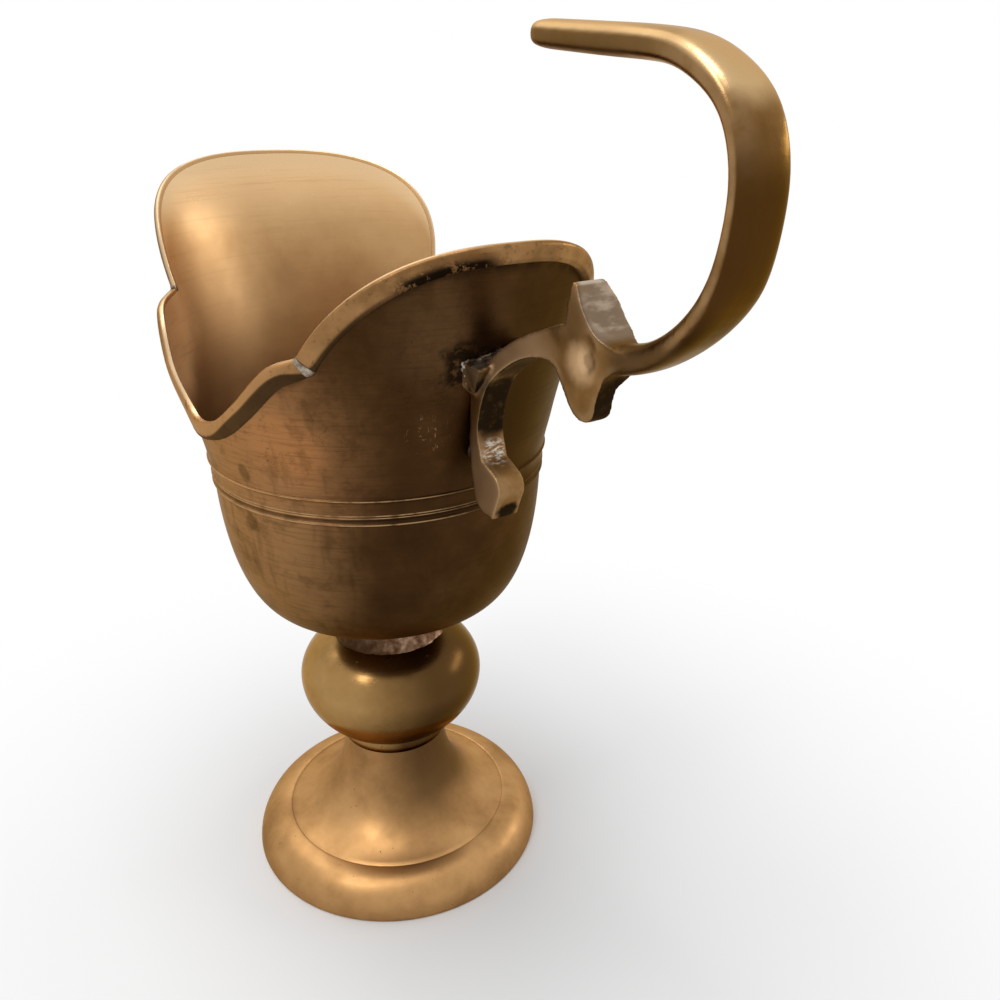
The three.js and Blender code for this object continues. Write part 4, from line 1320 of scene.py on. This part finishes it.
def belt_wear_and_highlight(tree, place, lathe, colour):
    up = height_of(tree, place)
    # Ridges rubbed bright, with a painted highlight on the near side.
    worn = level(tree, grain(tree, lathe, scale=0.2, detail=3), *BELT_WORN)
    worn = times(tree, worn, towards(tree, place, *BELT_SIDE))
    for line in BELT_LINES:
        colour = laid(tree, colour, BELT_WEAR_AND_HIGHLIGHT_TONE, times(tree, band(tree, up, *line), worn), BELT_SHARE)
    return laid(tree, colour, DIRT_AND_SHADE_TONE, band(tree, up, *BELT_GROOVE), GROOVE_SHARE)


def bowl_dirt_and_shade(tree, place):
    """A painted shadow under the lip behind the handle, and black crumbly patches by the lug and below the
    heel.
    """
    # Painted shadow under the lip, on the handle's side.
    under = level(tree, attribute(tree, "under_lip"), *UNDER_LIP)
    under = times(tree, under, level(tree, grain(tree, place, scale=0.16), *UNEVEN))
    under = times(tree, under, towards(tree, place, *UNDER_LIP_SIDE))
    dirt_and_shade = times(tree, under, UNDER_LIP_SHARE)
    crumbly = level(tree, grain(tree, place, scale=0.4, detail=5, rough=0.7), *CRUMBLY)
    for middle, reach in BLACK_PATCHES:
        dirt_and_shade = larger(tree, dirt_and_shade, times(tree, patch(tree, place, middle, reach, BLACK_WOBBLE), crumbly))
    return dirt_and_shade


def scratches(tree, place, lathe):
    """Short upright ticks on one patch."""
    upright = grain(tree, lathe, scale=0.45, detail=2, rough=0.5, stretch=(1, 1, 0.4))
    tick = hairlines(tree, upright, *TICK_WIDTH)
    tick = times(tree, tick, level(tree, grain(tree, place, scale=0.5, detail=2), *TICK_BROKEN))
    return times(tree, tick, patch(tree, place, *SCRATCHED))


print("marks:", len(DARK_SPOTS), "spots,", len(CRACKED), "cracked patches,", len(BELT_LINES), "belt lines")

# %% [markdown]
# The outside is put together layer by layer. Dirt and painted shade are duller than metal, the turning's
# rings are a shallow bump, and the cracks are cut into it.

# %% Bowl outside
BOWL_DULL, BOWL_RING_DULLS = (0.3, 0.75, 0.44, 0.34), 0.12
CRACK_WIDTH, CRACK_SINKS, BOWL_RELIEF = (0.001, 0.007), -0.5, 0.012


def bowl_outside():
    material, tree, shader, place = begin("browned_bowl_brass")
    lathe = on_lathe(tree, place)
    cloud = grain(tree, place, scale=0.032, detail=7, rough=0.62)
    cracks = hairlines(tree, grain(tree, place, scale=0.14, detail=3, rough=0.5), *CRACK_WIDTH)
    dirt_and_shade = bowl_dirt_and_shade(tree, place)
    colour = bowl_patina(tree, place, lathe, cloud)
    colour = spots_and_cracks(tree, place, colour, cracks)
    colour = belt_wear_and_highlight(tree, place, lathe, colour)
    colour = mixed(tree, dirt_and_shade, colour, DIRT_AND_SHADE_TONE)
    colour_it(tree, shader, laid(tree, colour, SCRATCH_TONE, scratches(tree, place, lathe), SCRATCH_SHARE))
    rings = grain(tree, lathe, scale=2.0, detail=3, rough=0.7, stretch=RING_STRETCH)
    crust(tree, shader, dirt_and_shade, plus(tree, level(tree, cloud, *BOWL_DULL), times(tree, rings, BOWL_RING_DULLS)))
    bump(tree, shader, plus(tree, rings, times(tree, cracks, CRACK_SINKS)), BOWL_RELIEF)
    return material


finish(bowl, bowl_outside())

# %% [markdown]
# Inside, the bowl is bright satin brass: it was kept clean. Shade is painted on towards the bottom, light
# is painted on two patches at the left and high in the spout, and a painted highlight runs along the edge.
# The inside could be a shell of its own; here its faces are picked by their normals, which look towards
# the axis, and take the second finish.

# %% Bowl inside
INSIDE_TONES = [(0.25, (0.33, 0.18, 0.074)), (0.5, (0.47, 0.275, 0.12)), (0.75, (0.57, 0.355, 0.165))]
# Painted shade towards the bottom.
DEEP_SHADE_TONE, DEEP_SHADE = (0.2, 0.1, 0.038), (145, 212, 0.85, 0)
# Patches of painted light on the left side.
LIT_PATCHES = [
    ((-46, -40, 172), 34, (0.62, 0.39, 0.19), 0.3),
    ((-20, -54, 180), 26, (0.86, 0.58, 0.31), 0.85),
]
# Painted light high in the spout.
SPOUT_TOP_LIGHT_TONE, SPOUT_TOP_LIGHT, HIGH_POLISH = (0.84, 0.55, 0.29), (194, 222, 0, 0.8), (188, 212, 0, -0.13)
# A painted highlight along the edge.
EDGE_HIGHLIGHT_TONE, EDGE = (0.66, 0.47, 0.27), (2.0, 9.0, 0.65, 0)
INSIDE_BRUSHED, INSIDE_DULL = (0.5, 0.75, 0, 0.3), (0.3, 0.7, 0.42, 0.33)
LIT_WOBBLE = 0.2
LOOKS_IN = 0.02


def bowl_inside():
    material, tree, shader, place = begin("satin_inside_brass")
    lathe = on_lathe(tree, place)
    up = height_of(tree, place)
    cloud = grain(tree, place, scale=0.03, detail=6, rough=0.6)
    # Painted shade at the bottom, painted light on the patches and the spout's top, a painted highlight at
    # the edge.
    colour = mixed(tree, level(tree, up, *DEEP_SHADE), drift(tree, cloud, INSIDE_TONES), DEEP_SHADE_TONE)
    for middle, reach, tone, share in LIT_PATCHES:
        colour = laid(tree, colour, tone, patch(tree, place, middle, reach, LIT_WOBBLE), share)
    colour = mixed(tree, level(tree, up, *SPOUT_TOP_LIGHT), colour, SPOUT_TOP_LIGHT_TONE)
    brushed = grain(tree, lathe, scale=0.8, detail=4, rough=0.7, stretch=(1, 0.03, 1))
    colour = mixed(tree, level(tree, brushed, *INSIDE_BRUSHED), colour, INSIDE_TONES[0][1])
    colour_it(tree, shader, mixed(tree, level(tree, attribute(tree, "under_lip"), *EDGE), colour, EDGE_HIGHLIGHT_TONE))
    rings = grain(tree, lathe, scale=1.6, detail=3, rough=0.7, stretch=RING_STRETCH)
    dull = plus(tree, level(tree, cloud, *INSIDE_DULL), times(tree, rings, RING_DULLS))
    dull_it(tree, shader, plus(tree, dull, level(tree, up, *HIGH_POLISH)))
    bump(tree, shader, rings, BOWL_RELIEF)
    return material


def line_inside(piece):
    """Give the faces that look towards the axis, from the floor up, the second finish."""
    for face in piece.data.polygons:
        outwards = Vector((face.center.x - AXIS, face.center.y, 0)).normalized()
        looks_in = face.normal.dot(outwards) < LOOKS_IN
        above_floor = face.center.z > (BOWL_FLOOR - SEAM) * MM
        face.material_index = 1 if looks_in and above_floor else 0


finish(bowl, bowl_inside())
line_inside(bowl)
inside_faces = sum(face.material_index for face in bowl.data.polygons)
print("bowl:", inside_faces, "of", len(bowl.data.polygons), "faces are inside")

# %% [markdown]
# The lip was filed to its section and rubbed along its top edge, which is bright from that wear and a
# painted highlight. Its lower face is painted nearly black, as shade and dark reflection under the
# overhang, less so behind the handle. Light is painted on the near lobe, and crumbs of dirt stick to the
# lobe behind the handle. The places on the section are known by the numbers of its points, which the
# strips kept when their rings were laid, so the bright edge follows every bend.

# %% Lip brass
LIP_TONES = [(0.3, (0.16, 0.08, 0.029)), (0.5, (0.27, 0.141, 0.054)), (0.75, (0.38, 0.205, 0.082))]
# Painted light on the near lobe.
LIP_LIT, LIP_LIT_TONE, LIP_LIT_SHARE = ((14, -56, 168), 46), (0.44, 0.235, 0.098), 0.8
LIP_CRUMBS = ((66, -15, 203), 15)
# The top edge is rubbed and painted with a highlight.
LIP_EDGE_WEAR_AND_HIGHLIGHT_TONE = (0.68, 0.5, 0.31)
INNER_POINTS, EDGE_POINTS = (1.0, 2.0, 1, 0), (4.0, 5.2, 0.9, 0)
CRUMB_POINTS, LOWER_POINTS = (7.5, 9.5), (9.3, 10.4)
SPECKLED, SPECKLE_SHARE, LIP_CRUMBLY = (0.56, 0.68), 0.4, (0.42, 0.5)
# Painted shade on the lower face, less behind the handle.
LOWER_SHADE, LOWER_LESS_SHADE, LESS_SHADE_SIDE = 0.8, -0.6, (0, 0.85, 0.97)
LIP_DULL, LIP_RELIEF = (0.3, 0.7, 0.44, 0.33), 0.03


def lip_dirt_and_shade(tree, place, point):
    """Painted shade on the lower face, less of it behind the handle, and crumbs of grime on that lobe."""
    crumbly = level(tree, grain(tree, place, scale=0.3, detail=5, rough=0.75), *LIP_CRUMBLY)
    crumbs = times(tree, level(tree, point, *CRUMB_POINTS), crumbly)
    crumbs = times(tree, crumbs, patch(tree, place, *LIP_CRUMBS))
    lower = level(tree, point, *LOWER_POINTS)
    less_shade = times(tree, times(tree, lower, towards(tree, place, *LESS_SHADE_SIDE)), LOWER_LESS_SHADE)
    return larger(tree, crumbs, plus(tree, times(tree, lower, LOWER_SHADE), less_shade))


def lip_finish():
    material, tree, shader, place = begin("filed_lip_brass")
    point = attribute(tree, "side")
    cloud = grain(tree, place, scale=0.09, detail=6, rough=0.6)
    # Painted light on the near lobe, painted shade on the lower face, a painted highlight on the top edge.
    rubbed_and_lit = patch(tree, place, *LIP_LIT)
    colour = laid(tree, drift(tree, cloud, LIP_TONES), LIP_LIT_TONE, rubbed_and_lit, LIP_LIT_SHARE)
    speckle = level(tree, grain(tree, place, scale=0.5, detail=4, rough=0.7), *SPECKLED)
    colour = laid(tree, colour, BROWN_DARK, speckle, SPECKLE_SHARE)
    dirt_and_shade = lip_dirt_and_shade(tree, place, point)
    colour = mixed(tree, dirt_and_shade, colour, DIRT_AND_SHADE_TONE)
    colour = mixed(tree, level(tree, point, *EDGE_POINTS), colour, LIP_EDGE_WEAR_AND_HIGHLIGHT_TONE)
    colour_it(tree, shader, mixed(tree, level(tree, point, *INNER_POINTS), colour, INSIDE_TONES[1][1]))
    crust(tree, shader, dirt_and_shade, level(tree, cloud, *LIP_DULL))
    bump(tree, shader, grain(tree, place, scale=0.8, detail=4, rough=0.65), LIP_RELIEF)
    return material


lip_brass = lip_finish()
for strip in lip_strips:
    finish(strip, lip_brass)

# %% [markdown]
# The handle was cast and filed, so it has no rings. Hands rubbed its ridges, the spur's face has worn to a
# warm grey, and silver solder shows behind the scroll and on the lug. Light is painted on as well: a
# highlight at the strap's bend, a lighter top on the arm, lighter near faces on the hub, scroll and heel.
# Shade and dark reflection are painted on the strap's back, on the near faces of the arm, root and spur,
# under the scroll's ceiling and on the end of the drop. The inside of the scroll, the heel's sole and the
# lug's sides are laid black, with dirt in the hollows. Each mark has a place, measured from the lug, and
# the way that its faces look.

# %% Handle marks and painted light and shade
HANDLE_TONES = [(0.25, (0.15, 0.073, 0.0225)), (0.5, (0.22, 0.114, 0.0375)), (0.75, (0.30, 0.163, 0.06))]
# Name, (outwards, across, up), reach, tone, share, waves of grit, and the axis and range that it faces.
# Among these, the bend has a painted highlight, the arm's top and the near faces of hub, scroll and heel are
# painted lighter, and the strap's back and the near faces of arm, root and spur are painted darker, as shade
# and dark reflection.
HANDLE_MARKS_LIGHT_AND_SHADE = [
    ("browned strap", (71, 0, 20), 44, (0.06, 0.0245, 0.0045), 0.96, 0, ("X", 0.0, 0.5)),
    ("browned strap foot", (62, 0, 14), 18, (0.04, 0.0175, 0.0045), 0.92, 0, ("X", -0.1, 0.3)),
    ("rubbed bend", (66, 0, 64), 12, (0.6, 0.41, 0.21), 0.9, 0, ("Z", 0.1, 0.7)),
    ("browned arm", (38, 0, 68), 28, (0.14, 0.075, 0.025), 0.85, 0, ("Y", -0.3, -0.7)),
    ("rubbed arm", (38, 0, 70), 30, (0.47, 0.315, 0.16), 0.8, 0, ("Z", 0.15, 0.5)),
    ("browned root", (56, 0, 13), 14, (0.09, 0.048, 0.019), 0.85, 0, ("Y", 0.5, -0.2)),
    ("browned spur", (36, 0, 19), 9, (0.157, 0.083, 0.032), 0.85, 0, ("Y", -0.4, -0.8)),
    ("rubbed hub", (38, 0, 10), 7, (0.66, 0.43, 0.23), 0.85, 0, ("Y", -0.3, -0.7)),
    ("rubbed scroll", (14, 0, 4), 19, (0.46, 0.29, 0.155), 0.85, 0, ("Y", -0.4, -0.8)),
    ("rubbed heel", (2, 0, -26), 14, (0.38, 0.235, 0.122), 0.85, 0, ("Y", -0.4, -0.8)),
    ("worn spur", (41, 0, 20), 10, (0.22, 0.16, 0.108), 0.9, 0, ("X", 0.2, 0.5)),
    ("spur streaks", (40, 2, 21), 8, (0.52, 0.42, 0.32), 0.6, 0.25, ("X", 0.2, 0.5)),
    ("spur end", (36, 0, 26), 4, (0.55, 0.48, 0.4), 0.8, 0, ("Z", 0.5, 0.8)),
    ("silver crumbs", (2.5, 0, -20.5), 4.5, (0.6, 0.55, 0.48), 0.95, 1.2, ("X", 0.1, 0.4)),
    ("lug facet", (3, -5, 3.5), 6.5, (0.55, 0.49, 0.42), 0.95, 0.45, ("Z", 0.3, 0.6)),
]
# Name, place, reach, share, and the axis and range that it faces.
# The scroll's inside, the heel's sole and the lug's sides are laid black; shade is painted under the scroll's
# ceiling and on the drop's end.
HANDLE_DIRT_AND_SHADE = [
    ("scroll hollow", (3.5, 0, -8.5), 12, 0.97, ("X", 0.25, 0.5)),
    ("scroll ceiling", (15, 0, 3), 12, 0.8, ("Z", -0.35, -0.65)),
    ("drop end", (44, 0, 2), 8, 0.9, ("X", 0.2, 0.5)),
    ("black sole", (7.8, 0, -34.6), 3.8, 0.97, ("X", 0.2, 0.5)),
    ("near lug", (2, -7, -1), 7, 0.6, ("Z", 0.6, 0.3)),
    ("far lug", (2, 7, -1), 7, 0.6, ("Z", 0.6, 0.3)),
]
MARK_WOBBLE, GRITTY, GRIT_STRETCH = 0.15, (0.42, 0.64), (1, 0.5, 1.4)
HOLLOWS, CAKED = (-0.95, -0.55, 0.3, 0), (0.3, 0.5, 0.8, 1)


def from_lug(spot):
    """A place measured from the lug, as a place from the turning axis."""
    return LUG_X + spot[0], spot[1], LUG_Z + spot[2]


# Wear, solder and painted light and shade on the handle.
def handle_marks_light_and_shade(tree, place, colour):
    for _, spot, reach, tone, share, grit, faces in HANDLE_MARKS_LIGHT_AND_SHADE:
        mask = patch(tree, place, from_lug(spot), reach, MARK_WOBBLE)
        mask = times(tree, mask, facing(tree, *faces))
        if grit:
            gritty = grain(tree, place, scale=grit, detail=4, rough=0.6, stretch=GRIT_STRETCH)
            mask = times(tree, mask, level(tree, gritty, *GRITTY))
        colour = laid(tree, colour, tone, mask, share)
    return colour


def handle_dirt_and_shade(tree, place, ridge):
    # Dirt in the hollows, black patches, and painted shade.
    dirt_and_shade = level(tree, ridge, *HOLLOWS)
    for _, spot, reach, share, faces in HANDLE_DIRT_AND_SHADE:
        mask = times(tree, patch(tree, place, from_lug(spot), reach), facing(tree, *faces))
        dirt_and_shade = larger(tree, dirt_and_shade, times(tree, mask, share))
    caked = level(tree, grain(tree, place, scale=0.35, detail=5, rough=0.7), *CAKED)
    return times(tree, dirt_and_shade, caked)


print("marks:", ", ".join(name for name, *_ in HANDLE_MARKS_LIGHT_AND_SHADE))
print("dirt:", ", ".join(name for name, *_ in HANDLE_DIRT_AND_SHADE))

# %% [markdown]
# The handle's finish lays the marks, the painted light and shade and the dirt over a drifting honey brown,
# with the ridges rubbed lighter. The bracket was only filed, so it is duller than the strap, which hands
# have polished.

# %% Handle brass
HANDLE_WORN, RIDGES = (0.38, 0.24, 0.12), (0.2, 0.9, 0, 0.45)
FILED_FROM, FILED_TO, FILED_DULLS = 46, 58, 0.16
HANDLE_DULL, HANDLE_RELIEF = (0.3, 0.7, 0.34, 0.24), 0.03


def handle_finish():
    material, tree, shader, place = begin("cast_handle_brass")
    ridge = attribute(tree, "ridge")
    cloud = grain(tree, place, scale=0.09, detail=6, rough=0.6)
    uneven = level(tree, grain(tree, place, scale=0.15, detail=3), *UNEVEN)
    rubbed_and_lit = times(tree, level(tree, ridge, *RIDGES), uneven)
    colour = mixed(tree, rubbed_and_lit, drift(tree, cloud, HANDLE_TONES), HANDLE_WORN)
    colour = handle_marks_light_and_shade(tree, place, colour)
    dirt_and_shade = handle_dirt_and_shade(tree, place, ridge)
    colour_it(tree, shader, mixed(tree, dirt_and_shade, colour, DIRT_AND_SHADE_TONE))
    out = put(tree, "SeparateXYZ", {"Vector": place}).outputs["X"]
    filed = level(tree, out, LUG_X + FILED_FROM, LUG_X + FILED_TO, FILED_DULLS, 0)
    crust(tree, shader, dirt_and_shade, plus(tree, level(tree, cloud, *HANDLE_DULL), filed))
    bump(tree, shader, grain(tree, place, scale=0.5, detail=4, rough=0.6), HANDLE_RELIEF)
    return material


finish(handle, handle_finish())

# %% [markdown]
# Silver solder has dulled to a warm grey, paler where it was filed. The ring under the bowl has a pink cast
# from the copper in it, and shade is painted on it in brown on its left side. One recipe serves all, with
# tones for each joint.

# %% Solder
SILVER_TONES = [(0.42, (0.04, 0.026, 0.016)), (0.56, (0.2, 0.17, 0.14)), (0.68, (0.6, 0.56, 0.5))]
CUSP_TONES = [(0.38, (0.1, 0.07, 0.045)), (0.52, (0.25, 0.2, 0.15)), (0.66, (0.46, 0.4, 0.33))]
PINK_TONES = [(0.35, (0.09, 0.045, 0.02)), (0.5, (0.19, 0.105, 0.06)), (0.66, (0.32, 0.21, 0.145))]
# Share and side of the painted shade on the ring.
PINK_SHADE, SHADED_SIDE = 0.85, (LEFT_AZIMUTH, 0.0, 0.75)
SOLDER_DULL, SOLDER_RELIEF = (0.3, 0.7, 0.5, 0.3), 0.05


def dull_solder(name, tones, painted_shade_share=0):
    material, tree, shader, place = begin(name)
    cloud = grain(tree, place, scale=0.35, detail=5, rough=0.6)
    colour = drift(tree, cloud, tones)
    # Painted shade in brown on one side.
    if painted_shade_share:
        colour = laid(tree, colour, BROWN_DARK, towards(tree, place, *SHADED_SIDE), painted_shade_share)
    colour_it(tree, shader, colour)
    dull_it(tree, shader, level(tree, cloud, *SOLDER_DULL))
    bump(tree, shader, grain(tree, place, scale=1.1, detail=4, rough=0.7), SOLDER_RELIEF)
    return material


silver_solder = dull_solder("silver_solder", SILVER_TONES)
cusp_silver = dull_solder("cusp_solder", CUSP_TONES)
for run in (lug_run, back_run):
    finish(run, silver_solder)
for drop in cusp_drops:
    finish(drop, cusp_silver)
finish(solder_ring, dull_solder("pink_solder", PINK_TONES, PINK_SHADE))

# %% [markdown]
# Metal shows what stands round it, so the light is a few oblong soft boxes, whose reflections are the
# highlights: a tall one left of the camera, a low one at the right, a wide dim one behind, and one
# overhead. A sun or a point lamp would leave only dots on the brass. Each box is told how bright it
# looks, and its power follows from its size.

# %% Soft boxes
TARGET = Vector((AXIS, 0, 0.13))
# Name, azimuth and elevation in degrees, distance and size in metres, and brightness.
SOFT_BOXES = [
    ("left_box", -77, 58, 0.9, (0.16, 0.5), 8.0),
    ("right_box", 74, 16, 0.9, (0.42, 0.1), 5.5),
    ("back_box", 190, 55, 1.1, (1.0, 0.8), 1.4),
    ("ceiling_box", 0, 84, 1.0, (0.4, 0.4), 5.5),
]


def soft_box(name, azimuth, elevation, distance, size, brightness):
    """An oblong lamp of a given brightness, aimed at the bowl."""
    data = bpy.data.lights.new(name, "AREA")
    data.shape = "RECTANGLE"
    data.size, data.size_y = size
    data.energy = brightness * math.pi * size[0] * size[1]
    lamp = bpy.data.objects.new(name, data)
    bpy.context.scene.collection.objects.link(lamp)
    a, e = math.radians(azimuth), math.radians(elevation)
    out = Vector((math.cos(a) * math.cos(e), math.sin(a) * math.cos(e), math.sin(e)))
    lamp.location = TARGET + out * distance
    lamp.rotation_euler = (-out).to_track_quat("-Z", "Y").to_euler()
    lamp.visible_camera = False


for box in SOFT_BOXES:
    soft_box(*box)
print("soft boxes:", [name for name, *_ in SOFT_BOXES])

# %% [markdown]
# The studio round it is a pale floor that turns white within a forearm's length and a white surround, both
# only for rays that are seen. Real white walls would throw more light on the brass than its colours
# allow, so for light on its way round the room the floor is plain matt paint, which keeps the shadow, and
# the surround is dimmer.

# %% Floor and surround
FLOOR_SIZE, FLOOR_PALE, FLOOR_ROUGH = 14, 0.88, 0.9
WHITE_BY = 0.26
AMBIENT = 0.4
WHITE = (1, 1, 1, 1)


def seen_rays(tree):
    """1 for rays from the camera, a mirror or through glass, 0 for light on its way round the room."""
    rays = put(tree, "LightPath", {}).outputs
    seen = larger(tree, rays["Is Camera Ray"], rays["Is Glossy Ray"])
    return larger(tree, seen, rays["Is Transmission Ray"])


def pale_floor():
    material = bpy.data.materials.new("pale_floor")
    material.use_nodes = True
    tree = material.node_tree
    paint = tree.nodes["Principled BSDF"]
    paint.inputs["Base Color"].default_value = (FLOOR_PALE, FLOOR_PALE, FLOOR_PALE, 1)
    paint.inputs["Roughness"].default_value = FLOOR_ROUGH
    away = vector(tree, "LENGTH", put(tree, "TexCoord", {}).outputs["Object"])["Value"]
    whiter = times(tree, level(tree, away, 0.0, WHITE_BY), seen_rays(tree))
    glow = put(tree, "Emission", {"Color": WHITE, "Strength": 1.0}).outputs[0]
    blend = put(tree, "MixShader", {0: whiter, 1: paint.outputs[0], 2: glow}).outputs[0]
    tree.links.new(blend, tree.nodes["Material Output"].inputs["Surface"])
    return material


def white_surround():
    world = bpy.data.worlds.new("studio")
    bpy.context.scene.world = world
    world.use_nodes = True
    sky = world.node_tree
    background = sky.nodes["Background"]
    strength = put(sky, "MapRange", {"Value": seen_rays(sky), "To Min": AMBIENT, "To Max": 1.0})
    sky.links.new(strength.outputs["Result"], background.inputs["Strength"])
    background.inputs["Color"].default_value = WHITE


bpy.ops.object.select_all(action="DESELECT")
bpy.ops.mesh.primitive_plane_add(size=FLOOR_SIZE)
floor = fresh("floor")
finish(floor, pale_floor())
white_surround()
bpy.context.scene.view_settings.view_transform = "Standard"
